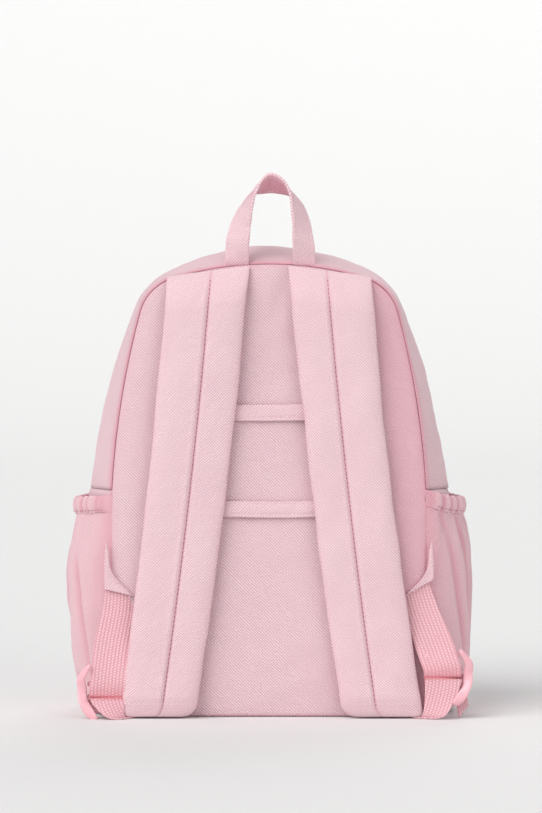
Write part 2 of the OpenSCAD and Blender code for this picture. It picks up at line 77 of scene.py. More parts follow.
def placeCamera():
    camera = bpy.data.objects.new("camera", bpy.data.cameras.new("camera"))
    bpy.context.scene.collection.objects.link(camera)
    tilt = np.radians(studio["elevation"])
    target = np.array(studio["target"]) / 1000
    place = target + studio["distance"] / 1000 * np.array([0, -np.cos(tilt), np.sin(tilt)])
    aimAt(camera, place, target)
    camera.data.sensor_width = studio["sensor"]
    camera.data.lens = studio["sensor"] * studio["distance"] / studio["viewHeight"]
    camera.data.clip_end = 50
    bpy.context.scene.camera = camera


def placeLight(name, look):
    # broad far light, even over the whole floor; softness is its width in degrees
    light = bpy.data.lights.new(name, "SUN")
    light.angle = np.radians(look["softness"])
    light.energy = look["power"]
    light.color = look["colour"]
    lamp = bpy.data.objects.new(name, light)
    bpy.context.scene.collection.objects.link(lamp)
    aimAt(lamp, look["place"], (0, 0, 0.2))


placeCamera()
for lightName in ("key", "front", "back"):
    placeLight(lightName + "Light", studio[lightName])
world = bpy.data.worlds.new("studioWorld")
bpy.context.scene.world = world
world.use_nodes = True
world.node_tree.nodes["Background"].inputs["Color"].default_value = (1, 1, 1, 1)
world.node_tree.nodes["Background"].inputs["Strength"].default_value = studio["worldLight"]
bpy.context.scene.view_settings.view_transform = "Standard"


# numpy helpers
def spread(count, ends=0.85):
    # fractions from 0 to 1, closer together near both ends: t - ends * sin(2 pi t) / 2 pi
    t = np.linspace(0, 1, count)
    return t - ends * np.sin(2 * np.pi * t) / (2 * np.pi)


def runLength(points):
    # distance along a line, or along each row of a grid, from its first point
    step = np.linalg.norm(np.diff(points, axis=-2), axis=-1)
    return np.concatenate([np.zeros(step.shape[:-1] + (1,)), np.cumsum(step, -1)], -1)


def alongLine(points, fractions):
    # points at fractions of a line's length
    run = runLength(points)
    at = np.asarray(fractions) * run[-1]
    return np.stack([np.interp(at, run, points[:, i]) for i in range(points.shape[1])], -1)


def smoothPath(knots, count):
    # uniform Catmull-Rom curve through the knots, then spaced evenly by length
    knots = np.asarray(knots, float)
    padded = np.concatenate([2 * knots[:1] - knots[1:2], knots, 2 * knots[-1:] - knots[-2:-1]])
    t = np.linspace(0, len(knots) - 1, 40 * len(knots))
    i = np.minimum(t.astype(int), len(knots) - 2)
    f = (t - i)[:, None]
    a, b, c, d = padded[i], padded[i + 1], padded[i + 2], padded[i + 3]
    curve = 0.5 * (2 * b + (c - a) * f + (2 * a - 5 * b + 4 * c - d) * f ** 2
                   + (3 * b - a - 3 * c + d) * f ** 3)
    return alongLine(curve, np.linspace(0, 1, count))


def unit(v):
    return v / np.maximum(np.linalg.norm(v, axis=-1, keepdims=True), 1e-9)


def ripple(points, wave, seed):
    # sum of nine sine waves in random directions, each about one wave long, between about -1 and 1
    rng = np.random.default_rng(seed)
    way = unit(rng.normal(size=(9, 3))) * rng.uniform(0.7, 1.4, (9, 1)) * 2 * np.pi / wave
    return np.sin(points @ way.T + rng.uniform(0, 2 * np.pi, 9)).sum(-1) / 3


def gridNormals(points, toward):
    # unit cross product of the two grid directions, turned to agree with the vector toward
    n = unit(np.cross(np.gradient(points, axis=0), np.gradient(points, axis=1)))
    sign = np.sign((n * np.asarray(toward)).sum(-1, keepdims=True))
    return n * np.where(np.median(sign) == 0, 1, np.median(sign))


def borderDistance(points, border):
    # shortest distance in the plane from each point to the points of a closed border
    flat = points.reshape(-1, 2)
    parts = np.array_split(flat, max(1, len(flat) // 2000))
    near = [np.sqrt(((p[:, None] - border[None]) ** 2).sum(-1)).min(1) for p in parts]
    return np.concatenate(near).reshape(points.shape[:-1])


def seamDistance(grid, line, count):
    # distance from a panel's seam, and none at all along the grid's own edge
    near = borderDistance(grid, alongLine(np.concatenate([line, line[:1]]), np.linspace(0, 1, count)))
    near[[0, -1]] = 0
    near[:, [0, -1]] = 0
    return near


def gridFaces(rows, cols):
    a = np.arange(rows - 1)[:, None] * cols + np.arange(cols - 1)[None, :]
    return np.stack([a, a + 1, a + cols + 1, a + cols], -1).reshape(-1, 4)


def wrapFaces(rows, cols):
    # faces of a grid whose last column meets its first
    i, j = np.arange(rows - 1)[:, None], np.arange(cols)[None, :]
    k = (j + 1) % cols
    return np.stack([i * cols + j, i * cols + k, (i + 1) * cols + k, (i + 1) * cols + j], -1).reshape(-1, 4)


def meshPiece(name, points, faces, cornerUv=None, paintedShade=None):
    mesh = bpy.data.meshes.new(name)
    faces = faces if isinstance(faces, list) else faces.tolist()
    mesh.from_pydata((np.asarray(points) * 0.001).tolist(), [], faces)
    mesh.polygons.foreach_set("use_smooth", np.ones(len(mesh.polygons), bool))
    if cornerUv is not None:
        mesh.uv_layers.new(name="cloth").data.foreach_set("uv", cornerUv.astype(np.float32).ravel())
    # per-point amount of painted shade, kept as an attribute that the finishes read
    if paintedShade is not None:
        layer = mesh.attributes.new("paintedShade", "FLOAT", "POINT")
        layer.data.foreach_set("value", paintedShade.astype(np.float32).ravel())
    mesh.update()
    made = bpy.data.objects.new(name, mesh)
    bpy.context.scene.collection.objects.link(made)
    return made


def gridUv(points):
    # millimetres along each row from its middle, and along the middle column
    across = runLength(points)
    across = across - across[:, -1:] / 2
    down = runLength(points[:, points.shape[1] // 2])
    return np.stack([across, np.broadcast_to(down[:, None], across.shape)], -1)


def sheetPiece(name, points, toward, uv=None, thick=1.2, paintedShade=None):
    # one layer of fabric on a grid, given its thickness on the inner side
    rows, cols = points.shape[:2]
    uv = gridUv(points) if uv is None else uv
    faces = gridFaces(rows, cols)
    normal = np.cross(points[1:, :-1] - points[:-1, :-1], points[:-1, 1:] - points[:-1, :-1])
    toward = np.broadcast_to(np.asarray(toward, float), points.shape)[:-1, :-1]
    if (unit(normal) * toward).sum() > 0:
        faces = faces[:, ::-1]
    made = meshPiece(name, points.reshape(-1, 3), faces, uv.reshape(-1, 2)[faces], paintedShade)
    wall = made.modifiers.new("thickness", "SOLIDIFY")
    wall.thickness = thick * 0.001
    wall.offset = -1
    return made


def closedPiece(name, over, under, uv=None, paintedShade=None):
    # two grids that share their border, joined into one closed skin; over faces outwards
    rows, cols = over.shape[:2]
    count = rows * cols
    uv = gridUv(over) if uv is None else uv
    inner = np.zeros((rows, cols), bool)
    inner[1:-1, 1:-1] = True
    index = np.arange(count).reshape(rows, cols)
    lower = index.copy()
    lower[inner] = count + np.arange(inner.sum())
    front = gridFaces(rows, cols)
    across = np.cross(over[1:, :-1] - over[:-1, :-1], over[:-1, 1:] - over[:-1, :-1])
    outward = (across * (over - under)[:-1, :-1]).sum() > 0
    top = front[:, ::-1] if outward else front
    bottom = lower.ravel()[front if outward else front[:, ::-1]]
    points = np.concatenate([over.reshape(-1, 3), under[inner]])
    flatUv = uv.reshape(-1, 2)
    cornerUv = np.concatenate([flatUv[top], flatUv[front if outward else front[:, ::-1]]])
    if paintedShade is not None:
        paintedShade = np.concatenate([paintedShade.ravel(), paintedShade[inner]])
    return meshPiece(name, points, np.concatenate([top, bottom]), cornerUv, paintedShade)


def tubePiece(name, rings, ringUv, paintedShade=None):
    # rings of points joined into a tube, closed at both ends by strips across the first and last ring;
    # the map has one column more than the rings
    rows, cols = rings.shape[:2]
    m = np.arange(cols // 2 - 1)
    first = np.stack([m, cols - 1 - m, cols - 2 - m, m + 1], -1)
    last = (first + (rows - 1) * cols)[:, ::-1]
    faces = np.concatenate([wrapFaces(rows, cols), first, last])
    index = np.concatenate([gridFaces(rows, cols + 1), first, first])
    across = np.cross(np.roll(rings, -1, 1)[:-1] - rings[:-1], rings[1:] - rings[:-1])
    if (across * (rings - rings.mean(1, keepdims=True))[:-1]).sum() < 0:
        faces, index = faces[:, ::-1], index[:, ::-1]
    return meshPiece(name, rings.reshape(-1, 3), faces, ringUv.reshape(-1, 2)[index], paintedShade)


def ruledBand(near, far, thick, count, cols):
    # flat strip between two edge curves given by their knots
    near, far = smoothPath(near, count), smoothPath(far, count)
    return band((near + far) / 2, near - far, np.linalg.norm(near - far, axis=1), thick, cols, 5)


def band(path, side, width, thick, cols=15, power=4):
    # flat strip along a path: over and under lie half the thickness from the middle, rounded off
    # at the edges and ends as (1 - |e| ** power) ** (1 / power)
    path, side = np.asarray(path, float), unit(np.broadcast_to(np.asarray(side, float), np.shape(path)))
    up = unit(np.cross(np.gradient(path, axis=0), side))
    e = np.sin(np.linspace(-np.pi / 2, np.pi / 2, cols))
    width = np.broadcast_to(width, len(path))
    thick = np.broadcast_to(thick, len(path))
    fall = (1 - np.abs(e) ** power).clip(0) ** (1 / power)
    ends = np.ones(len(path))
    ends[[0, -1]] = 0
    ends[[1, -2]] = 0.8
    lift = up[:, None] * (thick / 2 * ends)[:, None, None] * fall[None, :, None]
    middle = path[:, None] + side[:, None] * (width / 2)[:, None, None] * e[None, :, None]
    uv = np.stack(np.broadcast_arrays(width[:, None] / 2 * e[None, :], runLength(path)[:, None]), -1)
    return middle + lift, middle - lift, uv


def bandPiece(name, *values, **settings):
    over, under, uv = band(*values, **settings)
    return closedPiece(name, over, under, uv)


def beads(name, centres, along, normal, length, radius, squash=0.75):
    # many small capsules: four rings of six points at -1, -0.6, 0.6, 1 of the half length
    centres, along, normal = (np.asarray(v, float) for v in (centres, along, normal))
    along = unit(np.broadcast_to(along, centres.shape))
    normal = unit(np.broadcast_to(normal, centres.shape))
    side = unit(np.cross(along, normal))
    t = np.array([-1, -0.62, 0.62, 1])
    r = np.array([0.45, 1, 1, 0.45]) * radius
    turn = np.arange(6) * np.pi / 3
    ring = (along[:, None, None] * (length / 2 * t)[None, :, None, None]
            + side[:, None, None] * (r[:, None] * np.cos(turn))[None, :, :, None]
            + normal[:, None, None] * (r[:, None] * np.sin(turn) * squash)[None, :, :, None])
    points = centres[:, None, None] + ring
    caps = np.array([[3, 2, 1, 0], [5, 4, 3, 0], [18, 19, 20, 21], [18, 21, 22, 23]])
    one = np.concatenate([wrapFaces(4, 6), caps])
    faces = (np.arange(len(centres))[:, None, None] * 24 + one[None]).reshape(-1, 4)
    # the ring turns the other way round when side, normal and along are left-handed
    if np.dot(np.cross(side[0], normal[0]), along[0]) < 0:
        faces = faces[:, ::-1]
    return meshPiece(name, points.reshape(-1, 3), faces)


def stitchLine(name, path, normal, length=2.7, gap=1.1, radius=0.34, sink=0.1):
    # stitches of one length at even steps along a path, lying on the surface with the given normals
    path = np.asarray(path, float)
    normal = np.broadcast_to(np.asarray(normal, float), path.shape)
    total = runLength(path)[-1]
    count = max(2, int(total / (length + gap)))
    at = (np.arange(count) + 0.5) / count
    centres = alongLine(path, at)
    step = 0.3 / count
    ways = alongLine(path, np.minimum(at + step, 1)) - alongLine(path, np.maximum(at - step, 0))
    ups = alongLine(np.concatenate([path, normal], 1), at)[:, 3:]
    return beads(name, centres + unit(ups) * (radius * 0.75 - sink), ways, ups, length, radius)


# shader wiring
class Wire:
    # one output socket; arithmetic on it adds Math nodes
    def __init__(self, tree, socket):
        self.tree = tree
        self.socket = socket

    def calc(self, operation, other=None, swap=False):
        ends = [self] if other is None else [other, self] if swap else [self, other]
        return node(self.tree, "ShaderNodeMath", {"operation": operation}, dict(enumerate(ends)))

    def __add__(self, other):
        return self.calc("ADD", other)

    def __sub__(self, other):
        return self.calc("SUBTRACT", other)

    def __rsub__(self, other):
        return self.calc("SUBTRACT", other, True)

    def __mul__(self, other):
        return self.calc("MULTIPLY", other)

    def __truediv__(self, other):
        return self.calc("DIVIDE", other)

    __radd__ = __add__
    __rmul__ = __mul__


def node(tree, kind, settings, sockets, output=0):
    # adds a node: its settings first, then the values or links of its sockets
    made = tree.nodes.new(kind)
    for key, value in settings.items():
        setattr(made, key, value)
    for key, value in sockets.items():
        if isinstance(value, Wire):
            tree.links.new(value.socket, made.inputs[key])
        else:
            made.inputs[key].default_value = value
    return Wire(tree, made.outputs[output])


def mixColour(tree, factor, a, b):
    # colour b over colour a
    return node(tree, "ShaderNodeMix", {"data_type": "RGBA"}, {0: factor, 6: a, 7: b}, 2)


def shaderOf(name, constants):
    # a new material, its tree and its main shader with fixed values set on its own sockets
    material = bpy.data.materials.new(name)
    material.use_nodes = True
    tree = material.node_tree
    main = tree.nodes["Principled BSDF"]
    for key, value in constants.items():
        main.inputs[key].default_value = value
    return material, tree, main


def rgba(colour, gain=1.0):
    return tuple(min(1, c * gain) for c in colour) + (1,)


def clothFinish(name, look):
    # twill: diagonal ribs at even steps, broken by the threads that cross them, on the piece's own
    # map in millimetres; painted shade turns creases, seams and folds deeper pink, and the tone drifts
    # slowly over the cloth
    material, tree, main = shaderOf(name, {"Sheen Weight": look["sheen"], "Sheen Roughness": 0.45,
                                           "Specular IOR Level": 0.25, "Sheen Tint": (1, 0.93, 0.95, 1)})
    uv = node(tree, "ShaderNodeUVMap", {"uv_map": "cloth"}, {})
    parts = tree.nodes.new("ShaderNodeSeparateXYZ")
    tree.links.new(uv.socket, parts.inputs[0])
    u, v = Wire(tree, parts.outputs[0]), Wire(tree, parts.outputs[1])
    wander = node(tree, "ShaderNodeTexNoise", {}, {"Vector": uv, "Scale": 0.12, "Detail": 2.0})
    thread = node(tree, "ShaderNodeTexNoise", {}, {"Vector": uv, "Scale": 0.9, "Detail": 3.0,
                                                   "Roughness": 0.7})
    tone = node(tree, "ShaderNodeTexNoise", {}, {"Vector": uv, "Scale": 0.022, "Detail": 3.0})
    rise = look["rise"]
    phase = (v - rise * u) * (2 * np.pi / look["pitch"]) + wander * 6.0
    ribs = phase.calc("SINE") * 0.5 + 0.5
    crossing = ((v * rise + u) * (2 * np.pi / (look["pitch"] * 0.9))).calc("SINE") * 0.5 + 0.5
    weave = ribs * 0.72 + ribs * crossing * 0.28
    paintedShade = node(tree, "ShaderNodeAttribute", {"attribute_name": "paintedShade"}, {}, 2)
    base, light, deep = look["colour"], look["light"], look["deep"]
    spun = weave * 0.78 + (thread - 0.5) * 1.1 + 0.1
    colour = mixColour(tree, spun, rgba(base), rgba(light))
    colour = mixColour(tree, (tone - 0.5) * look["drift"] + 0.12, colour, rgba(deep))
    # painted shade: a deeper pink mixed in where the attribute marks creases, seams and folds
    colour = mixColour(tree, paintedShade * look["paintedShadeTint"], colour, rgba(look["paintedShadeColour"]))
    tree.links.new(colour.socket, main.inputs["Base Color"])
    rough = thread * 0.12 + look["rough"]
    tree.links.new(rough.socket, main.inputs["Roughness"])
    bump = node(tree, "ShaderNodeBump", {}, {"Strength": look["bump"], "Distance": 0.00035,
                                            "Height": weave + thread * 0.6})
    tree.links.new(bump.socket, main.inputs["Normal"])
    return material


def webFinish(name, look):
    # webbing: columns of ribs along the strip, each a row of short weft dashes out of step with the next
    material, tree, main = shaderOf(name, {"Sheen Weight": 0.2, "Sheen Roughness": 0.4,
                                           "Specular IOR Level": 0.35})
    uv = node(tree, "ShaderNodeUVMap", {"uv_map": "cloth"}, {})
    parts = tree.nodes.new("ShaderNodeSeparateXYZ")
    tree.links.new(uv.socket, parts.inputs[0])
    u, v = Wire(tree, parts.outputs[0]), Wire(tree, parts.outputs[1])
    column = (u * (np.pi / look["column"])).calc("SINE").calc("ABSOLUTE")
    step = (u / look["column"]).calc("FLOOR")
    dash = (v * (2 * np.pi / look["dash"]) + step * np.pi).calc("SINE") * 0.5 + 0.5
    weave = column * 0.3 + column * dash * 0.7
    fuzz = node(tree, "ShaderNodeTexNoise", {}, {"Vector": uv, "Scale": 1.3, "Detail": 2.0})
    colour = mixColour(tree, weave * 0.75 + fuzz * 0.25, rgba(look["deep"]), rgba(look["colour"]))
    # painted shade: a deeper colour mixed in where the attribute marks folds
    paintedShade = node(tree, "ShaderNodeAttribute", {"attribute_name": "paintedShade"}, {}, 2)
    colour = mixColour(tree, paintedShade, colour, rgba(look["paintedShadeColour"]))
    tree.links.new(colour.socket, main.inputs["Base Color"])
    tree.links.new((fuzz * 0.15 + look["rough"]).socket, main.inputs["Roughness"])
    bump = node(tree, "ShaderNodeBump", {}, {"Strength": look["bump"], "Distance": 0.0006, "Height": weave})
    tree.links.new(bump.socket, main.inputs["Normal"])
    return material


def hardFinish(name, look):
    # moulded or painted parts: faint mottling in gloss and colour, on object coordinates in metres
    material, tree, main = shaderOf(name, {"Coat Roughness": 0.12, "Specular IOR Level": look["specular"],
                                           "Subsurface Weight": look["glow"], "Subsurface Scale": 0.002})
    place = node(tree, "ShaderNodeTexCoord", {}, {}, 3)
    cloud = node(tree, "ShaderNodeTexNoise", {}, {"Vector": place, "Scale": 60.0, "Detail": 3.0})
    grain = node(tree, "ShaderNodeTexNoise", {}, {"Vector": place, "Scale": look["grain"], "Detail": 2.0})
    colour = mixColour(tree, cloud * 0.6, rgba(look["colour"]), rgba(look["deep"]))
    tree.links.new(colour.socket, main.inputs["Base Color"])
    tree.links.new((cloud * 0.12 + look["rough"]).socket, main.inputs["Roughness"])
    bump = node(tree, "ShaderNodeBump", {}, {"Strength": look["bump"], "Distance": 0.0002, "Height": grain})
    tree.links.new(bump.socket, main.inputs["Normal"])
    return material


# the crease colour and its tint are painted shade: the deeper pink put in creases, seams and folds
twill = {"colour": (0.61, 0.37, 0.42), "light": (0.97, 0.775, 0.81), "deep": (0.74, 0.46, 0.53),
         "paintedShadeColour": (0.70, 0.31, 0.385), "paintedShadeTint": 0.6, "pitch": 2.45, "rise": 1.0, "drift": 0.6,
         "sheen": 0.3, "rough": 0.80, "bump": 0.9}
shellCloth = clothFinish("shellTwill", twill)
# painted light: a lighter copy of the shell twill, for the straps, bands, handle and tabs that stand out
# from the panel into the light
litStrapCloth = clothFinish("litStrapTwill", {**twill, "colour": (0.67, 0.41, 0.46), "light": (0.99, 0.80, 0.83)})
# painted bounce light: a more saturated copy of the twill for the side pockets and their hems, with
# stronger painted shade in its folds
bouncePocketCloth = clothFinish("bouncePocketTwill", {
    **twill, "colour": (0.64, 0.355, 0.405), "light": (0.97, 0.72, 0.755), "paintedShadeTint": 0.75})
liningCloth = clothFinish("liningCloth", {
    **twill, "colour": (0.74, 0.50, 0.56), "light": (0.80, 0.58, 0.63), "pitch": 0.8, "bump": 0.15,
    "rough": 0.6})
foamCloth = clothFinish("foamSheet", {
    **twill, "colour": (0.80, 0.80, 0.77), "light": (0.88, 0.88, 0.86), "deep": (0.7, 0.7, 0.66),
    "pitch": 3.1, "bump": 0.2, "rough": 0.85})
# in the webbing and the zip tape, the crease colour is painted shade at folds
webbing = webFinish("ribbedWebbing", {
    "colour": (0.96, 0.655, 0.69), "deep": (0.64, 0.27, 0.33), "paintedShadeColour": (0.66, 0.20, 0.24),
    "column": 2.8, "dash": 2.2, "rough": 0.62, "bump": 0.8})
tapeCloth = webFinish("zipTapeWeave", {
    "colour": (0.80, 0.52, 0.57), "deep": (0.70, 0.40, 0.46), "paintedShadeColour": (0.66, 0.30, 0.36),
    "column": 1.2, "dash": 1.1, "rough": 0.7, "bump": 0.4})
seamThread = hardFinish("seamThread", {
    "colour": (0.50, 0.20, 0.27), "deep": (0.42, 0.15, 0.21), "rough": 0.6, "specular": 0.2, "glow": 0.0,
    "grain": 3000.0, "bump": 0.3})
threadFinish = hardFinish("pinkThread", {
    "colour": (0.90, 0.68, 0.72), "deep": (0.82, 0.55, 0.60), "rough": 0.55, "specular": 0.3, "glow": 0.0,
    "grain": 3000.0, "bump": 0.3})
bucklePlastic = hardFinish("mouldedPlastic", {
    "colour": (0.90, 0.50, 0.56), "deep": (0.84, 0.43, 0.50), "rough": 0.24, "specular": 0.5, "glow": 0.15,
    "grain": 900.0, "bump": 0.05})
zipPlastic = hardFinish("zipCoil", {
    "colour": (0.86, 0.50, 0.56), "deep": (0.80, 0.42, 0.49), "rough": 0.35, "specular": 0.5, "glow": 0.0,
    "grain": 1500.0, "bump": 0.1})
paintedMetal = hardFinish("paintedMetal", {
    "colour": (0.84, 0.47, 0.53), "deep": (0.78, 0.40, 0.47), "rough": 0.3, "specular": 0.6, "glow": 0.0,
    "grain": 1200.0, "bump": 0.08})
paper = hardFinish("studioPaper", {
    "colour": studio["paper"], "deep": tuple(c * 0.985 for c in studio["paper"]), "rough": 0.85,
    "specular": 0.1, "glow": 0.0, "grain": 40.0, "bump": 0.0})
print("finishes ready")


def dress(thing, material, body=None, bodies=None, blendFrom=None, blendTo=None, replaces=()):
    # finish, the body that the piece is attached to, and the nodes that it stands for; a piece given bodies
    # is only fixed in place and is attached to none of them
    thing.data.materials.clear()
    thing.data.materials.append(material)
    if bodies:
        tuple(v / 1000 for v in blendFrom)
        tuple(v / 1000 for v in blendTo)
        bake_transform(thing)
    else:
        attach(thing, body)
    if replaces:
        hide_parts(*replaces)


def makeFloor():
    # paper floor, turned round its middle: flat, then an arc up to the rim
    turn = np.linspace(0, np.radians(studio["rimTurn"]), 24)
    flat = np.array([1, 300, 1200, 3000, studio["floorRadius"]])
    radius = np.concatenate([flat, studio["floorRadius"] + studio["rimRadius"] * np.sin(turn[1:])])
    height = np.concatenate([flat * 0, studio["rimRadius"] * (1 - np.cos(turn[1:]))])
    around = np.linspace(0, 2 * np.pi, 97)[:-1]
    points = np.stack(np.broadcast_arrays(radius[:, None] * np.cos(around),
                                          radius[:, None] * np.sin(around), height[:, None]), -1)
    faces = wrapFaces(*points.shape[:2])[:, ::-1].tolist() + [list(range(points.shape[1]))]
    floor = meshPiece("paperFloor", points.reshape(-1, 3), faces)
    floor.data.materials.append(paper)


makeFloor()

# outline of the body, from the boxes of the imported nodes
coverLow, coverHigh = boxMm("back_panel_cover")
rearLow, rearHigh = boxMm("rear_gusset")
frontLow, frontHigh = boxMm("front_panel_upper")
outline = {
    "crownRadius": 187, "crownAngle": 25.3, "cornerRadius": 56, "cornerAngle": 68, "sideAngle": 84,
    "backCrownRadius": 265.5, "backCrownAngle": 17, "backCornerRadius": 40, "backCornerAngle": 75,
    "backSideAngle": 88, "crestRun": 45, "zipBack": 27, "zipGap": 12, "baseRound": 9,
}
backY, frontY, coverY = rearLow[1], frontLow[1], coverLow[1]
crestY = backY + outline["crestRun"]
zipY = frontY - outline["zipBack"]
zipEnd = frontLow[2]
crestArch = np.array([rearHigh[2], outline["crownRadius"], outline["crownAngle"], outline["cornerRadius"],
                      outline["cornerAngle"], rearHigh[0], outline["sideAngle"]])
backArch = np.array([coverHigh[2], outline["backCrownRadius"], outline["backCrownAngle"],
                     outline["backCornerRadius"], outline["backCornerAngle"], coverHigh[0],
                     outline["backSideAngle"]])
frontTaper = rearHigh[2] - frontHigh[2]
insetWay = np.array([1, 1, 0, 1, 0, 1, 0])     # which of an arch's values an inset makes smaller
bodyMiddle = 150                               # height of a point well inside the body


def archKey(arch):
    # centres and radii that follow from an arch, for one arch or a row of them
    arch = np.asarray(arch, float)
    top, crownR, crownA, cornerR, cornerA, half, sideA = np.moveaxis(arch, -1, 0)
    crownA, cornerA, sideA = np.radians(crownA), np.radians(cornerA), np.radians(sideA)
    cornerX = (crownR - cornerR) * np.sin(crownA)
    cornerZ = top - crownR + (crownR - cornerR) * np.cos(crownA)
    shoulderX = cornerX + cornerR * np.sin(cornerA)
    shoulderZ = cornerZ + cornerR * np.cos(cornerA)
    sideR = (half - shoulderX) / (np.sin(sideA) - np.sin(cornerA))
    return {"top": top, "crownR": crownR, "crownA": crownA, "cornerR": cornerR, "cornerA": cornerA,
            "half": half, "sideA": sideA, "cornerX": cornerX, "cornerZ": cornerZ, "shoulderZ": shoulderZ,
            "sideR": sideR, "sideX": shoulderX - sideR * np.sin(cornerA),
            "sideZ": shoulderZ - sideR * np.cos(cornerA)}


def sideAt(arch, z):
    # half width of an arch at a height: its wide side arc, and straight below where that ends
    k = {key: value[..., None] for key, value in archKey(arch).items()}
    under = np.sqrt((k["sideR"] ** 2 - (z - k["sideZ"]) ** 2).clip(0))
    return np.where(z < k["sideZ"] + k["sideR"] * np.cos(k["sideA"]), k["half"], k["sideX"] + under)


def archLine(arch, foot, steps=(24, 14, 44)):
    # x and z of whole arches from the left foot over the crown to the right foot: the crown arc, the
    # corner arc, then even steps of height down the side
    k = {key: value[..., None] for key, value in archKey(arch).items()}
    t = [np.arange(steps[0]) / steps[0], np.arange(steps[1]) / steps[1], np.linspace(0, 1, steps[2])]
    crown = k["crownA"] * t[0]
    corner = k["crownA"] + (k["cornerA"] - k["crownA"]) * t[1]
    z = k["shoulderZ"] + (foot - k["shoulderZ"]) * t[2]
    xs = np.concatenate([k["crownR"] * np.sin(crown), k["cornerX"] + k["cornerR"] * np.sin(corner),
                         sideAt(arch, z)], -1)
    zs = np.concatenate([k["top"] - k["crownR"] + k["crownR"] * np.cos(crown),
                         k["cornerZ"] + k["cornerR"] * np.cos(corner), z], -1)
    half = np.stack([xs, zs], -1)
    return np.concatenate([half[..., :0:-1, :] * [-1, 1], half], -2)


def swell(y):
    return np.sin(np.pi / 2 * ((y - backY) / outline["crestRun"]).clip(0, 1))


def taper(y):
    return frontTaper * ((y - crestY).clip(0) / (frontY - crestY)) ** 2


def hoops(y, inset, foot, steps=(24, 14, 44)):
    # the body's outline at each depth y: the back arch and the widest arch mixed by the swell
    y, inset = np.broadcast_arrays(np.asarray(y, float), inset)
    crest = crestArch - (inset + taper(y))[:, None] * insetWay
    back = backArch - inset[:, None] * insetWay
    w = swell(y)[:, None, None]
    line = (1 - w) * archLine(back, foot, steps) + w * archLine(crest, foot, steps)
    return np.stack([line[..., 0], np.broadcast_to(y[:, None], line.shape[:2]), line[..., 1]], -1)


def wallAt(y, z, inset=0):
    # half width of the body at a depth and a height
    y, z = np.broadcast_arrays(np.asarray(y, float), np.asarray(z, float))
    shape = y.shape
    y, z = y.ravel(), z.ravel()
    crest = crestArch - (inset + taper(y))[:, None] * insetWay
    back = backArch - np.full(len(y), inset)[:, None] * insetWay
    w = swell(y)
    wide = (1 - w) * sideAt(back, z[:, None])[:, 0] + w * sideAt(crest, z[:, None])[:, 0]
    return wide.reshape(shape)


def coons(outlinePoints, cornerShare, rows, cols):
    # a grid inside an arch: the two rulings between opposite edges, added, less the flat patch between
    # its four corners; the side edges run from the feet to cornerShare of the outline's length
    left = alongLine(outlinePoints, cornerShare * spread(rows))
    right = alongLine(outlinePoints, 1 - cornerShare * spread(rows))
    top = alongLine(outlinePoints, cornerShare + (1 - 2 * cornerShare) * spread(cols))
    foot = alongLine(outlinePoints[[0, -1]], spread(cols))
    u, v = spread(cols)[None, :, None], spread(rows)[:, None, None]
    ruled = (1 - v) * foot[None] + v * top[None] + (1 - u) * left[:, None] + u * right[:, None]
    flat = ((1 - u) * (1 - v) * foot[0] + u * (1 - v) * foot[-1] + (1 - u) * v * top[0] + u * v * top[-1])
    return ruled - flat


# back panel: one padded form with its edge drawn into the seam
backPanel = {
    "rows": 150, "cols": 110, "edge": 2.6, "seamInset": 1.9, "crown": 4.0, "crownRun": 17, "innerY": 7.6,
    "innerEdge": 4, "wrinkle": 0.35, "cornerShare": 0.40, "foot": 1.0, "seamRun": 1.6, "seamShade": 0.8,
    # one soft diagonal fold under the handle: where it starts, how far it runs down, its slant and size
    "foldTop": 362, "foldRun": 52, "foldX": 14, "foldSlant": 12, "foldDepth": 2.2, "foldWidth": 7,
    # painted shadow of the right strap on the panel beside it: its strength, x of its edge at shadeTop, its
    # slope and the width over which it comes in
    "shade": 0.7, "shadeX": 78, "shadeSlope": 0.112, "shadeTop": 340, "shadeRun": 5,
}


def backPanelGrid():
    line = archLine(backArch - backPanel["seamInset"] * insetWay, backPanel["foot"])
    grid = coons(line, backPanel["cornerShare"], backPanel["rows"], backPanel["cols"])
    return grid, seamDistance(grid, line, 1500)


def backPanelDepth(near, points):
    # a quarter ellipse over the first few millimetres from the seam, then a slow crown, and faint folds
    roll = np.sqrt(1 - (1 - (near / backPanel["edge"]).clip(0, 1)) ** 2)
    rise = (backY - coverY) * roll
    crown = backPanel["crown"] * (1 - np.exp(-near / backPanel["crownRun"]))
    fold = backPanel["wrinkle"] * ripple(points, 70, 5) + 0.5 * backPanel["wrinkle"] * ripple(points, 23, 6)
    along = ((backPanel["foldTop"] - points[..., 2]) / backPanel["foldRun"]).clip(-0.5, 2)
    off = points[..., 0] - (backPanel["foldX"] - backPanel["foldSlant"] * along)
    valley = np.exp(-(off / backPanel["foldWidth"]) ** 2) * np.exp(-(along - 0.45) ** 2 / 0.2)
    fold = fold - backPanel["foldDepth"] * valley
    return rise + crown + fold * roll


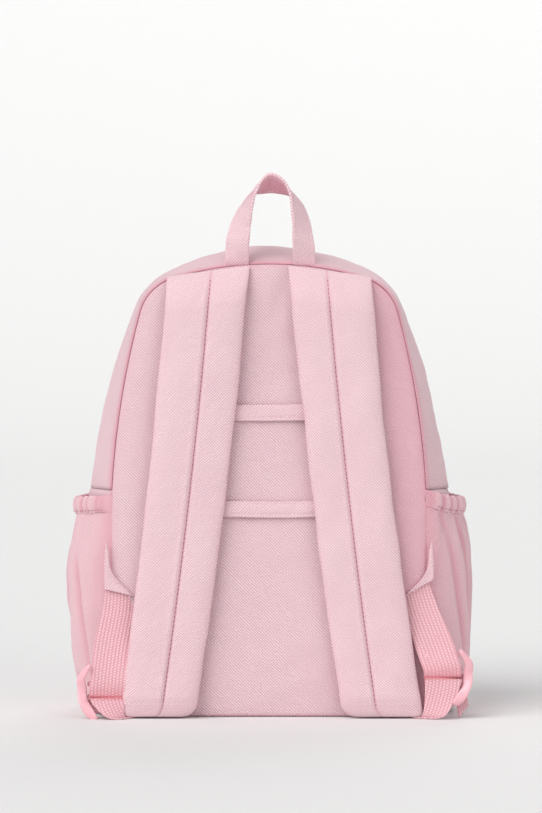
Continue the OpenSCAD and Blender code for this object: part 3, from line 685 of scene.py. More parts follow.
def makeBackPanel():
    grid, near = backPanelGrid()
    flat = np.stack([grid[..., 0], np.zeros(near.shape), grid[..., 1]], -1)
    over, under = flat.copy(), flat.copy()
    over[..., 1] = backY - backPanelDepth(near, flat)
    inner = np.sqrt(1 - (1 - (near / backPanel["innerEdge"]).clip(0, 1)) ** 2)
    under[..., 1] = backY + backPanel["innerY"] * inner
    # where the right strap's painted shadow begins, and how it comes in
    shadeEdge = backPanel["shadeX"] + backPanel["shadeSlope"] * (backPanel["shadeTop"] - grid[..., 1])
    strapShade = ((grid[..., 0] - shadeEdge) / backPanel["shadeRun"]).clip(0, 1)
    # painted shade: deeper pink in the seam, and a painted shadow of the right strap on the panel beside it
    paintedShade = backPanel["seamShade"] * np.exp(-near / backPanel["seamRun"]) + backPanel["shade"] * strapShade
    panel = closedPiece("paddedBackPanel", over, under, grid * [-1, 1], paintedShade)
    dress(panel, shellCloth, "bag", replaces=["back_panel_cover", "back_panel_foam"])


makeBackPanel()
print("back panel made")

# gussets and side panels: the cloth wall round the body, its edges rolled into the seams
walls = {"thick": 1.6, "edge": 1.5, "wrinkle": 0.55, "seamPucker": 0.35}


def edgeRows(start, end, radius, count):
    # depths and insets of a wall's rows, with a quarter turn rolled in at both ends
    turn = np.radians([90, 65, 40, 20])
    head = np.stack([start + radius * (1 - np.sin(turn)), radius * (1 - np.cos(turn))], -1)
    tail = head[::-1] * [-1, 1] + [start + end, 0]
    body = np.linspace(start + radius, end - radius, count)
    return np.concatenate([head, np.stack([body, body * 0], -1), tail])


def wallFolds(points, near, seed):
    # slow swells and short puckers that fade away from the seam
    slow = walls["wrinkle"] * (ripple(points, 60, seed) + 0.45 * ripple(points, 21, seed + 1))
    pucker = walls["seamPucker"] * ripple(points * [1, 0.25, 1], 8, seed + 2) * np.exp(-near / 7)
    return slow + pucker


def makeGusset(name, start, end, body, replaces, seed, sag):
    rows = edgeRows(start, end, walls["edge"], max(6, int((end - start) / 2)))
    points = hoops(rows[:, 0], rows[:, 1], zipEnd)
    near = np.minimum(np.abs(rows[:, 0] - start), np.abs(rows[:, 0] - end))[:, None]
    normal = gridNormals(points, points - [0, 0, bodyMiddle])
    lift = wallFolds(points, near, seed) * (1 - np.exp(-near / 3))
    across = ((rows[:, 0] - start) / (end - start)).clip(0, 1)[:, None]
    lift = lift - sag * np.sin(np.pi * across) * (1 + 0.4 * ripple(points, 90, seed + 4))
    points = points + normal * lift[..., None]
    # painted shade: deeper pink next to the seams
    paintedShade = np.broadcast_to(np.exp(-near / 3.2) * 0.95 + 0.5 * np.exp(-near / 0.8), points.shape[:2])
    made = sheetPiece(name, points, (0, 0, 1), thick=walls["thick"], paintedShade=paintedShade)
    dress(made, shellCloth, body, replaces=replaces)


halfGap = outline["zipGap"] / 2
makeGusset("rearGusset", backY, zipY - halfGap, "bag", ["rear_gusset"], 21, 0.6)
makeGusset("frontGusset", zipY + halfGap, frontY - 0.3, "front_flap", ["front_gusset"], 31, 0.2)


def makeSidePanel(way, name, nodeName, seed):
    # the wall below the zip's ends; it turns under at the base by a quarter circle
    rows = edgeRows(backY, frontY - 0.3, walls["edge"], 56)
    r = outline["baseRound"]
    turn = np.radians(np.linspace(0, 90, 8))
    z = np.concatenate([np.linspace(zipEnd - 0.6, r, 60), r - r * np.sin(turn[1:])]) + 0.3
    tuck = np.concatenate([np.zeros(60), r * (1 - np.cos(turn[1:]))])
    top = np.exp(-(zipEnd - 0.3 - z) / 1.2) * 1.2   # the turned seam along the upper edge
    x = wallAt(rows[:, 0][:, None], z[None, :]) - rows[:, 1][:, None] - tuck[None, :] - top[None, :]
    points = np.stack(np.broadcast_arrays(x, rows[:, 0][:, None], z[None, :]), -1)
    near = np.minimum(np.abs(rows[:, 0] - backY), np.abs(rows[:, 0] - frontY))[:, None]
    points[..., 0] += wallFolds(points, near, seed) * (1 - np.exp(-near / 3)) * np.exp(-(tuck / 4)[None, :])
    points[..., 0] *= way
    # painted shade: deeper pink next to the seams
    paintedShade = np.broadcast_to(np.exp(-near / 2.0) * 0.9, points.shape[:2])
    made = sheetPiece(name, points, (way, 0, 0), thick=walls["thick"], paintedShade=paintedShade)
    dress(made, shellCloth, "bag", replaces=[nodeName])


makeSidePanel(-1, "sidePanelLeft", "side_panel_left", 41)
makeSidePanel(1, "sidePanelRight", "side_panel_right", 42)


def makeBase():
    # flat bottom between the turned-under edges, slightly lifted towards its middle
    r = outline["baseRound"]
    ys = np.linspace(backY + 1.5, frontY - 1.5, 40)
    half = wallAt(ys, np.full(40, 1.0)) - r + 1.0
    u = spread(60) * 2 - 1
    points = np.stack(np.broadcast_arrays(half[:, None] * u[None, :], ys[:, None], 0.0), -1).copy()
    bow = (1 - np.abs(u[None, :]) ** 6) * (1 - np.abs(np.linspace(-1, 1, 40))[:, None] ** 6)
    points[..., 2] = 0.2 + 0.5 * bow
    made = sheetPiece("basePanel", points, (0, 0, -1), thick=1.4)
    dress(made, shellCloth, "bag", replaces=["base_panel"])


makeBase()
print("body wall made")

# shoulder straps, described for the right-hand side
strapLow, strapHigh = boxMm("strap_front_right")
strap = {
    "topInner": (14.9, 361.9), "topOuter": (81.6, 353.0), "end": strapLow[2] - 2.8,
    "topWidth": 65, "endWidth": 58, "middle": 48.4, "spread": 40, "lift": 7.8, "thick": 9.8, "ease": 30,
    "cornerRadius": 11,
    "seamAt": -0.07, "groove": 2.4, "grooveWidth": 1.15, "ridge": 0.7, "rows": 210, "cols": 64,
    "flare": {1: 5.5, -1: 2.0},     # how much further out each strap's lower corner reaches
    "blendTop": 356, "blendEnd": 300,
}
strap["endX"] = strap["middle"] + strap["spread"] + strap["endWidth"] / 2
strapLength = (strap["topInner"][1] + strap["topOuter"][1]) / 2 - strap["end"]


def strapFrame(s, e):
    # x and z of a strap at a distance s from its top and at e from its inner (-1) to outer edge (1)
    t = s / strapLength
    half = ((1 - t) * strap["topWidth"] + t * strap["endWidth"]) / 2 + 0.6
    mid = strap["middle"] + strap["spread"] * (0.72 * t + 0.28 * t * t)
    left = (strapLength - s).clip(0, strap["cornerRadius"])
    cut = strap["cornerRadius"] - np.sqrt((strap["cornerRadius"] ** 2
                                           - (strap["cornerRadius"] - left) ** 2).clip(0))
    x = mid + e * half + cut * (1 - e) / 2
    slope = (strap["topInner"][1] - strap["topOuter"][1]) * (1 - t) ** 2
    z = strap["end"] + (strapLength - s) - slope * e / 2
    return x, z


def strapDepth(s, e, way):
    # distances of the front skin from the cover: rounded edges, two soft halves, the sewn groove between
    rise = np.sin(np.pi / 2 * (s / strap["ease"]).clip(0, 1))
    fade = ((strapLength - s) / 16).clip(0, 1)
    thick = strap["thick"] * (0.2 + 0.8 * rise) * (0.36 + 0.64 * np.sqrt(fade))
    lift = 0.6 + (strap["lift"] - 0.6) * rise
    round_ = (1 - np.abs(e) ** 5).clip(0) ** (1 / 2.4)
    part = np.where(e < strap["seamAt"], (e + 1) / (strap["seamAt"] + 1),
                    (e - strap["seamAt"]) / (1 - strap["seamAt"])).clip(0, 1)
    soft = 0.87 + 0.13 * np.sin(np.pi * part) ** 0.6
    width = strap["topWidth"] / 2
    groove = strap["groove"] * np.exp(-((e - strap["seamAt"]) * width / strap["grooveWidth"]) ** 2) * rise
    ridge = np.exp(-((strap["seamAt"] - e) * way * width / 2.2 - 1.3) ** 2)
    groove = groove - strap["ridge"] * ridge * rise
    groove = groove * (0.35 + 0.65 * fade)
    return lift, thick, round_, soft, groove, rise * fade


def strapSurface(way, seed):
    s = strapLength * spread(strap["rows"], 0.6)[:, None]
    e = np.sin(np.pi / 2 * (2 * np.linspace(0, 1, strap["cols"]) - 1))[None, :]
    x, z = strapFrame(s, e)
    lift, thick, round_, soft, groove, calm = strapDepth(s, e, way)
    place = np.stack(np.broadcast_arrays(x, 0 * x, z), -1)
    wave = (0.7 * ripple(place, 95, seed) + 0.3 * ripple(place * [1, 1, 0.6], 30, seed + 1)
            + 0.07 * ripple(place, 12, seed + 2))
    front = lift + thick * (0.42 + 0.58 * round_ * soft) - groove * round_ + wave * calm * round_
    back = lift + thick * 0.42 * (1 - round_)
    edge = 0.45 * ripple(place * [0, 0, 1], 60, seed + 3) + 0.12 * ripple(place * [0, 0, 1], 19, seed + 4)
    x = x + edge * calm * e + strap["flare"][way] * (s / strapLength) ** 2 * e.clip(0)
    over = np.stack([x * way, coverY - front, np.broadcast_to(z, x.shape)], -1)
    under = np.stack([x * way, coverY - back, np.broadcast_to(z, x.shape)], -1)
    for side in (0, -1):
        middle = (over[side] + under[side]) / 2
        over[side] = under[side] = middle
    middle = (over[:, [0, -1]] + under[:, [0, -1]]) / 2
    over[:, [0, -1]] = under[:, [0, -1]] = middle
    uv = np.stack(np.broadcast_arrays(e * strap["topWidth"] / 2, s), -1) * [-1, -1]
    # painted shade: deeper pink in the sewn groove and along the edges
    near = (1 - np.abs(e)) * 30
    paintedShade = 0.9 * np.exp(-((e - strap["seamAt"]) * 30 / 0.9) ** 2) + 0.3 * np.exp(-near / 1.5) + 0 * s
    return over, under, uv, paintedShade


def strapSkin(over):
    # gives points and normals of the front skin at any e and s by looking the grid up
    s = strapLength * spread(strap["rows"], 0.6)
    e = np.sin(np.pi / 2 * (2 * np.linspace(0, 1, strap["cols"]) - 1))
    normals = gridNormals(over, (0, -1, 0))

    def at(sv, ev):
        row = np.interp(sv, s, np.arange(len(s)))
        col = np.interp(ev, e, np.arange(len(e)))
        i, j = np.minimum(row.astype(int), len(s) - 2), np.minimum(col.astype(int), len(e) - 2)
        f, g = (row - i)[:, None], (col - j)[:, None]
        both = np.concatenate([over, normals], -1)
        found = ((1 - f) * (1 - g) * both[i, j] + f * (1 - g) * both[i + 1, j]
                 + (1 - f) * g * both[i, j + 1] + f * g * both[i + 1, j + 1])
        return found[:, :3], unit(found[:, 3:])
    return at


def makeStrap(way, tail, seed):
    body = "strap_" + tail
    over, under, uv, paintedShade = strapSurface(way, seed)
    pad = closedPiece("shoulderStrap" + tail.title(), over, under, uv, paintedShade)
    blendTop, blendEnd = ((way * strap["middle"], coverY, strap[key]) for key in ("blendTop", "blendEnd"))
    dress(pad, litStrapCloth, bodies=("bag", body), blendFrom=blendTop, blendTo=blendEnd,
          replaces=["strap_front_" + tail, "strap_foam_" + tail, "strap_back_" + tail])
    at = strapSkin(over)
    run = np.linspace(7, strapLength - 9, 240)
    rows = {"Seam": (0, 2.2, 0.34, seamThread), "Ridge": (-0.125 * way, 1.7, 0.3, threadFinish)}
    for part, (off, stitch, radius, thread) in rows.items():
        path, normal = at(run, strap["seamAt"] + off + 0 * run)
        line = stitchLine("strap" + part + "Stitches" + tail.title(), path, normal, stitch, 1.5, radius)
        dress(line, thread, bodies=("bag", body), blendFrom=blendTop, blendTo=blendEnd)
    across = np.linspace(-0.9, 0.95, 60)
    path, normal = at(0 * across + strapLength - 11, across)
    line = stitchLine("strapEndStitches" + tail.title(), path, normal, 2.6, 1.2, 0.36)
    dress(line, threadFinish, body)


makeStrap(-1, "left", 61)
makeStrap(1, "right", 71)
print("straps made")

# trolley bands
bands = {"upper": {"nodeName": "trolley_band_upper", "stitches": (-0.58,), "seed": 81},
         "lower": {"nodeName": "trolley_band_lower", "stitches": (-0.62, 0.62), "seed": 83}}


def makeBand(tail, values):
    low, high = boxMm(values["nodeName"])
    half, height = high[0], high[2] - low[2]
    x = np.linspace(-half, half, 90)
    lift = 5.0 * np.sin(np.pi / 2 * ((half - np.abs(x)) / 18).clip(0, 1)) + 1.2
    sag = 0.5 * np.cos(np.pi * x / half / 2) ** 2
    path = np.stack([x, coverY - lift, (low[2] + high[2]) / 2 - sag + 0.25 * ripple(
        np.stack([x, 0 * x, 0 * x], -1), 60, values["seed"])], -1)
    over, under, uv = band(path, (0, 0, 1), height, 2.2, cols=23, power=5)
    e = np.sin(np.linspace(-np.pi / 2, np.pi / 2, 23))
    puff = 0.35 * (1 - e ** 2)
    for mark in values["stitches"]:
        puff = puff - 0.55 * np.exp(-((e - mark) * height / 2 / 0.9) ** 2)
    front = over if over[45, 11, 1] < under[45, 11, 1] else under
    front[1:-1, 1:-1, 1] -= puff[None, 1:-1] + 0.22 * ripple(front[1:-1, 1:-1], 18, values["seed"] + 1)
    made = closedPiece("trolleyBand" + tail.title(), over, under, uv[..., ::-1])
    dress(made, litStrapCloth, "bag", replaces=[values["nodeName"]])
    for number, mark in enumerate(values["stitches"]):
        column = int(np.abs(e - mark).argmin())
        line = stitchLine("band" + tail.title() + "Stitches" + str(number), front[2:-2, column],
                          (0, -1, 0), 2.4, 1.2, 0.3)
        dress(line, threadFinish, "bag")


for tail, values in bands.items():
    makeBand(tail, values)

# grab handle
handleLow, handleHigh = boxMm("grab_handle")
handle = {"thick": 3.0, "stitchIn": 3.4, "samples": 170, "cols": 25, "reach": 37.0, "rise": 71.2,
          "footLift": 4.2, "blendFrom": 2, "blendTo": 22}
# edges of the strip from the left foot to the right: x and height above the seam of the edge that
# is inside at the feet, the same for the other edge, and the depth between the two
handleKnots = np.array([
    (-16, -3.2, -35.6, -3.2, 1), (-16, 14.4, -34.4, 14.4, 6), (-14.8, 26.4, -31.6, 26.4, 10),
    (-13.8, 38.4, -26.8, 38, 15), (-12.4, 48, -20.8, 46.6, 18), (-9.6, 57.2, -14.4, 53.4, 18.5),
    (-5.6, 65, -7.2, 54.6, 17), (0.6, 69.9, 0.6, 55.4, 13.9), (7.4, 68, 8, 54.6, 15),
    (13.2, 62.4, 15.2, 53.2, 17), (16.4, 54.6, 21.6, 51, 18.5), (17.6, 46.4, 26.8, 45.2, 17.5),
    (18.6, 36.8, 31.2, 36, 15), (19, 26.4, 33.8, 25.6, 12), (19, 14.4, 36, 14.4, 7),
    (19.6, -3.2, 37.4, -3.2, 2)])


def makeHandle():
    # the strip rises from one foot and turns over the top, where its underside shows
    nearX, nearZ, farX, farZ, deep = handleKnots.T
    wide, tall = handleHigh[0] / handle["reach"], (handleHigh[2] - handleLow[2]) / handle["rise"]
    middle = coverY - 0.4 - handle["thick"] / 2 + handle["footLift"] * (nearZ < 0)
    near = np.stack([nearX * wide, middle - 0.45 * deep, handleLow[2] + nearZ * tall], -1)
    far = np.stack([farX * wide, middle + 0.55 * deep, handleLow[2] + farZ * tall], -1)
    over, under, uv = ruledBand(near, far, handle["thick"], handle["samples"], handle["cols"])
    share = np.linspace(0, 1, handle["samples"])[:, None]
    foot = np.exp(-(over[..., 2] - handleLow[2]).clip(0) / 5)
    e = np.sin(np.linspace(-np.pi / 2, np.pi / 2, handle["cols"]))
    rim = np.abs(e)[None, :] ** 10
    # painted shade: deeper pink over the top turn, where the underside shows, and at the feet where they go
    # into the seam
    paintedShade = np.exp(-((share - 0.5) / 0.14) ** 4) * 1.3 * (1 - rim) + 0.6 * foot
    half = (handleHigh[0] - 17) / 2
    marks = (1 - handle["stitchIn"] / half) * np.array([-1, 1])
    dip = sum(np.exp(-((e - m) * half / 1.0) ** 2) for m in marks) * 0.4
    up = unit(over[1:-1, 1:-1] - under[1:-1, 1:-1])
    for skin, sign in ((over, 1), (under, -1)):
        bumps = 0.25 * ripple(skin[1:-1, 1:-1], 16, 91) - dip[None, 1:-1]
        skin[1:-1, 1:-1] += up * (sign * bumps)[..., None]
    made = closedPiece("grabHandle", over, under, uv, paintedShade)
    start, end = ((0, coverY, handleLow[2] + handle[key]) for key in ("blendFrom", "blendTo"))
    dress(made, litStrapCloth, bodies=("bag", "handle"), blendFrom=start, blendTo=end,
          replaces=["grab_handle"])
    for sideName, skin in (("Outer", over), ("Inner", under)):
        for number, m in enumerate(marks):
            column = int(np.abs(e - m).argmin())
            line = stitchLine("handle" + sideName + "Stitches" + str(number), skin[4:-4, column],
                              unit(skin - (over + under) / 2 + 1e-6)[4:-4, column], 2.4, 1.1, 0.3)
            dress(line, threadFinish, bodies=("bag", "handle"), blendFrom=start, blendTo=end)


makeHandle()
print("bands and handle made")

# side pockets, described for the right-hand side; a fold is y and z of its start and end, then its
# width and depth
pocket = {"rows": 96, "cols": 120, "low": 2.3, "hem": 13.5, "top": 178, "hemStitch": 4.9,
          "gatherPitch": 9.5, "gatherDepth": 1.5, "gatherRun": 30, "mouthDrop": 4.5, "tuck": 4.6,
          "rise": {"left": 0, "right": 5}, "flat": (0.17, 0.163)}
pocketFolds = {
    "left": [(-40, 124, -50, 30, 3.2, 4.6), (-18, 164, -22, 70, 6, 2.0), (-2, 160, 2, 80, 7, 2.2),
             (-60, 130, -56, 60, 4, 0.9), (25, 162, 18, 70, 6, 2.2), (45, 150, 40, 60, 6, 1.6),
             (-36, 30, -15, 10, 6, 1.8), (10, 40, 30, 12, 7, 1.8)],
    "right": [(-56, 164, -53, 148, 3.0, 4.4), (-54, 152, -34, 44, 3.6, 4.2), (-40, 164, -24, 66, 4.2, 3.0),
              (-20, 162, -14, 50, 6, 2.4),
              (5, 163, 8, 90, 6, 1.8), (30, 160, 24, 60, 7, 2.2), (50, 158, 44, 80, 5, 1.6),
              (-50, 40, -30, 14, 5, 1.8), (0, 36, 20, 10, 7, 1.6)],
}
# how far the pocket stands off the wall, as (height, distance)
pocketShape = {
    "left": [(2, 0.5), (6, 3.5), (20, 8.5), (46, 13.5), (76, 17), (106, 18.6), (126, 17.8), (150, 13),
             (165, 9), (180, 7)],
    "right": [(2, 1), (6, 6), (18, 12.5), (34, 16), (62, 18.4), (106, 19.2), (133, 18.2), (152, 14.5),
              (165, 10), (180, 8)],
}


def pocketStand(z, tail):
    # a smooth curve through the heights and distances of pocketShape
    knots = smoothPath(pocketShape[tail], 120)
    return np.interp(z, knots[:, 0], knots[:, 1])


def foldLines(y, z, folds):
    # valleys along straight lines: depth * exp(-(distance / width)^2), fading at both ends
    total, line = 0, 0
    for y0, z0, y1, z1, width, depth in folds:
        run = np.hypot(y1 - y0, z1 - z0)
        along = ((y - y0) * (y1 - y0) + (z - z0) * (z1 - z0)) / run ** 2
        off = ((y - y0) * (z1 - z0) - (z - z0) * (y1 - y0)) / run
        ends = 1 / (1 + np.exp(-(along - 0.02) * 18)) / (1 + np.exp((along - 0.95) * 14))
        ridge = 0.45 * np.exp(-((off - 2.4 * width) / (1.5 * width)) ** 2)
        total = total + depth * (np.exp(-(off / width) ** 2) - ridge) * ends
        # the second map marks the valleys, for painted shade
        line = np.maximum(line, np.exp(-(off / width * 1.3) ** 2) * ends * min(1, depth / 2.6))
    return total, line


def pocketGrid(z, ys, tail):
    # the wall's shape, moved out by the pocket's stand; the rear edge turns into the seam, and the
    # mouth hangs lower where it stands out most
    y, z = np.asarray(ys)[:, None], np.asarray(z)[None, :]
    share = ((y - ys[0]) / (ys[-1] - ys[0])).clip(0, 1)
    arch = np.sin(np.pi * share).clip(0) ** 0.6
    tall = ((z - 60) / (pocket["top"] - 60)).clip(0, 1)
    drop = pocket["mouthDrop"] * arch ** 1.5 * tall ** 2
    wall = wallAt(y.clip(backY, frontY), np.broadcast_to(z, np.broadcast(y, z).shape))
    tuck = pocket["tuck"] * (np.exp(-(y - ys[0]) / 1.6) + np.exp(-(ys[-1] - y) / 1.6))
    x = wall + 0.7 + pocketStand(z, tail) * arch - tuck
    lift = pocket["rise"][tail] * np.exp(-(y - ys[0]) / 9) * tall ** 2
    return np.stack(np.broadcast_arrays(x, y, z - drop + lift), -1), arch


def gathers(y, seed):
    # uneven pleats under the elastic: a sine whose phase wanders
    place = np.stack([y, 0 * y, 0 * y], -1)
    return np.sin(2 * np.pi * y / pocket["gatherPitch"] + 1.5 * ripple(place, 30, seed))


def makePocket(way, tail, seed):
    start, end = backY - 0.9, frontY - 0.4
    ys = start + (end - start) * spread(pocket["rows"], 0.6)
    top = pocket["top"] - pocket["hem"] + 1
    z = pocket["low"] + (top - pocket["low"]) * spread(pocket["cols"], 0.4)
    points, arch = pocketGrid(z, ys, tail)
    y, zz = points[..., 1], np.broadcast_to(z[None, :], arch.shape[:1] + z.shape)
    valley, line = foldLines(y, zz, pocketFolds[tail])
    pleat = gathers(y, seed) * pocket["gatherDepth"] * np.exp(-((top - zz) / pocket["gatherRun"]) ** 1.3)
    slow = 0.8 * ripple(points, 60, seed + 1) + 0.25 * ripple(points, 22, seed + 2)
    edge = arch * (1 - np.exp(-(zz - pocket["low"]) / 6))
    points[..., 0] += (pleat + slow - valley) * edge
    points[..., 0] *= way
    # painted shade: deeper pink in the fold valleys and towards the rear seam
    paintedShade = (line * edge * 1.5 + 0.75 * np.exp(-(y - backY) / 6)).clip(0, 1.3)
    uv = np.stack([points[..., 0] * way + 0.45 * y, zz], -1)
    cloth = sheetPiece("sidePocket" + tail.title(), points, (way, 0, 0), uv, thick=1.0, paintedShade=paintedShade)
    dress(cloth, bouncePocketCloth, "bag", replaces=["side_pocket_" + tail])
    # hem: a flattened tube round the elastic, drawn up into upright pleats
    around = np.linspace(0, 2 * np.pi, 25)[:-1]
    ys = start + (end - start) * spread(260, 0.4)
    middleZ = pocket["top"] - pocket["hem"] / 2
    middle = pocketGrid([middleZ], ys, tail)[0][:, 0]
    sewn = np.sin(np.pi / 2 * (np.minimum(ys - start, end - ys) / 5).clip(0, 1))
    pleats = gathers(ys, seed) + 0.35 * ripple(np.stack([ys, 0 * ys, 0 * ys], -1), 6, seed + 5)
    tall = pocket["hem"] / 2 + 0.1 + 0.35 * pleats * sewn
    deep = 1.2 + 0.9 * sewn
    up = np.sign(np.sin(around)) * np.abs(np.sin(around)) ** 0.8
    puff = (1.3 + pleats * 1.15)[:, None] * sewn[:, None] * (1 - 0.25 * up[None, :] ** 2)
    ring = np.stack([middle[:, 0][:, None] + 0.6 + deep[:, None] * np.cos(around) + puff,
                     ys[:, None] + 0 * around, middle[:, 2][:, None] + tall[:, None] * up], -1)
    ring[..., 0] -= 0.9 * np.exp(-((ring[..., 2] - middle[:, 2:] + pocket["hemStitch"]) / 0.8) ** 2)
    ring[..., 0] *= way
    tubeUv = np.stack([ring[..., 0] * way + 0.45 * ring[..., 1], ring[..., 2]], -1)
    tubeUv = np.concatenate([tubeUv, tubeUv[:, :1]], 1)
    # painted shade: deeper pink in the pleat valleys and at the rear end
    valleys = ((0.2 - pleats) * 0.9 * sewn).clip(0, 1)[:, None] + 0.8 * np.exp(-(ys[:, None] - start) / 3)
    hem = tubePiece("pocketHem" + tail.title(), ring, tubeUv, np.broadcast_to(valleys, ring.shape[:2]))
    dress(hem, bouncePocketCloth, "bag", replaces=["pocket_elastic_" + tail])
    path = np.stack([(middle[:, 0] + 0.3 + deep + (1.3 + pleats * 1.15) * sewn * 0.85) * way, ys,
                     middle[:, 2] - pocket["hemStitch"]], -1)[10:-10]
    line = stitchLine("hemStitches" + tail.title(), path, (way, 0, 0), 2.0, 1.4, 0.3)
    dress(line, seamThread, "bag")


makePocket(-1, "left", 101)
makePocket(1, "right", 111)
print("side pockets made")

# webbing tabs, adjuster webbing, ladder locks and the straps' end loops, for the right-hand side
tabLow, tabHigh = boxMm("webbing_tab_right")
lockLow, lockHigh = boxMm("ladder_lock_right")
hardware = {
    "tabLift": 4.4, "webThick": 1.5, "lockIn": 6.2, "lockOut": 10.6, "railInner": -12.2,
    # z and x of the tab's inner edge, from its tip downwards
    "tabEdge": [(141, 129.5), (132, 127.8), (122, 127.0), (115, 124.2), (108.5, 119.4), (102, 112.6),
                (97.0, 107.4)],
    # along the lock's outer blade: (share of its height, x) and (share, y)
    "blade": [(0, 8.5), (0.14, 14.5), (0.36, 19.6), (0.55, 20.2), (0.72, 21.0), (0.86, 18.0), (1, 13.5)],
    "bladeSwing": [(0, -5.2), (0.25, -3.6), (0.5, -0.2), (0.75, -2.6), (1, -5.4)],
    # bars of the lock: share of its height, distance behind its middle, reach outwards
    "bars": {"barOne": (0.14, 1.6, 12), "barTwo": (0.38, 1.8, 16), "barThree": (0.64, 2.4, 16),
             "barFour": (0.90, 2.6, 13)},
}
# the two sides hang differently: knots are (x, distance in front of the cover, z) of the webbing's
# middle, then of the outer and inner edges of the loop on the strap's end
hang = {
    "left": {"lift": 0, "out": -3.6, "fold": 17, "tabSlant": (6, 8),
             "web": [(118.8, 2.0, 101), (118.6, 2.2, 95), (119.4, 3.0, 85), (121.6, 5.0, 73),
                     (124.8, 9, 56), (127, 12.6, 38), (128, 14.4, 27)],
             "lean": [0.03, 0.15, 0.2, 0.2],
             "loopOuter": [(143, 14.4, 17), (141, 15.5, 12.5), (137, 17, 8), (131, 20, 3), (125, 21, 0.9),
                           (117, 19, 0.8)],
             "loopInner": [(114, 14.4, 17.6), (115, 14.5, 10), (115.4, 14, 4.5), (114, 13, 1.2),
                           (111, 10, 0.8), (107, 8, 0.8)]},
    "right": {"lift": 12, "out": 6, "fold": 33, "tabSlant": (14, 15),
              "web": [(116.4, 2.0, 106), (118, 2.4, 98), (121.6, 3.4, 86), (126.8, 6, 72), (131.4, 9, 60),
                      (136, 13, 47), (138, 14.4, 41)],
              "lean": [0.05, 0.36, 0.46, 0.6],
              "loopOuter": [(154, 14.4, 32), (152, 15, 24.6), (148, 16, 15.6), (144.4, 18, 8.6),
                            (140, 19.5, 3), (132, 19, 0.9)],
              "loopInner": [(124, 14.4, 34), (124.4, 14, 24), (124, 14, 12), (122.6, 14, 4), (120, 12, 1.1),
                            (114, 10, 0.8)]},
}


def lockPlace(tail):
    # middle of a ladder lock in x and y, as it hangs
    x = (lockLow[0] + lockHigh[0]) / 2 - hardware["lockIn"] + hang[tail]["out"]
    return x, coverY - hardware["lockOut"]


def makeTab(way, tail):
    # narrow triangle of doubled cloth sewn into the side seam; its long edge is drawn in by a curve
    knots = smoothPath(hardware["tabEdge"], 80)[::-1]
    v = spread(50, 0.7)
    z = knots[0, 0] + (knots[-1, 0] - knots[0, 0]) * v
    inner = np.interp(z, knots[:, 0], knots[:, 1])
    outer = tabHigh[0] - 0.4 + 0.8 * np.sin(np.pi * v) - 1.0 * v
    u = spread(30, 0.8)[None, :]
    x = inner[:, None] + (outer - inner)[:, None] * u
    rise, fade = hang[tail]["tabSlant"]
    zz = z[:, None] + rise * u * np.exp(-(z - z[0]) / fade)[:, None]
    edge = np.minimum(np.minimum(u, 1 - u) * (outer - inner)[:, None],
                      np.minimum(z - z[0], z[-1] - z)[:, None])
    puff = 1.2 * np.sqrt(1 - (1 - (edge / 1.6).clip(0, 1)) ** 2)
    y = coverY - hardware["tabLift"]
    spot = np.stack([x, 0 * x, zz], -1)
    over = np.stack([x * way, y - puff - 0.3 * ripple(spot, 20, 121) * (puff / 1.3), zz], -1)
    under = np.stack([x * way, y + 0.6 * puff, zz], -1)
    # painted shade: deeper pink along the tab's edges
    paintedShade = 0.6 * np.exp(-edge / 1.0)
    made = closedPiece("webbingTab" + tail.title(), over, under, np.stack([-x, zz], -1), paintedShade)
    dress(made, litStrapCloth, "bag", replaces=["webbing_tab_" + tail])
    away = unit(np.stack([np.gradient(z), -np.gradient(inner)], -1))
    for number, inset in enumerate((1.2, 2.9)):
        path = np.stack([(inner + away[:, 0] * inset) * way, 0 * z + y - 1.15, z + away[:, 1] * inset], -1)
        path = path[3:-6][:40 - 14 * number]
        line = stitchLine("tabStitches" + str(number) + tail.title(), path, (0, -1, 0), 2.0, 1.0, 0.27)
        dress(line, threadFinish, "bag")


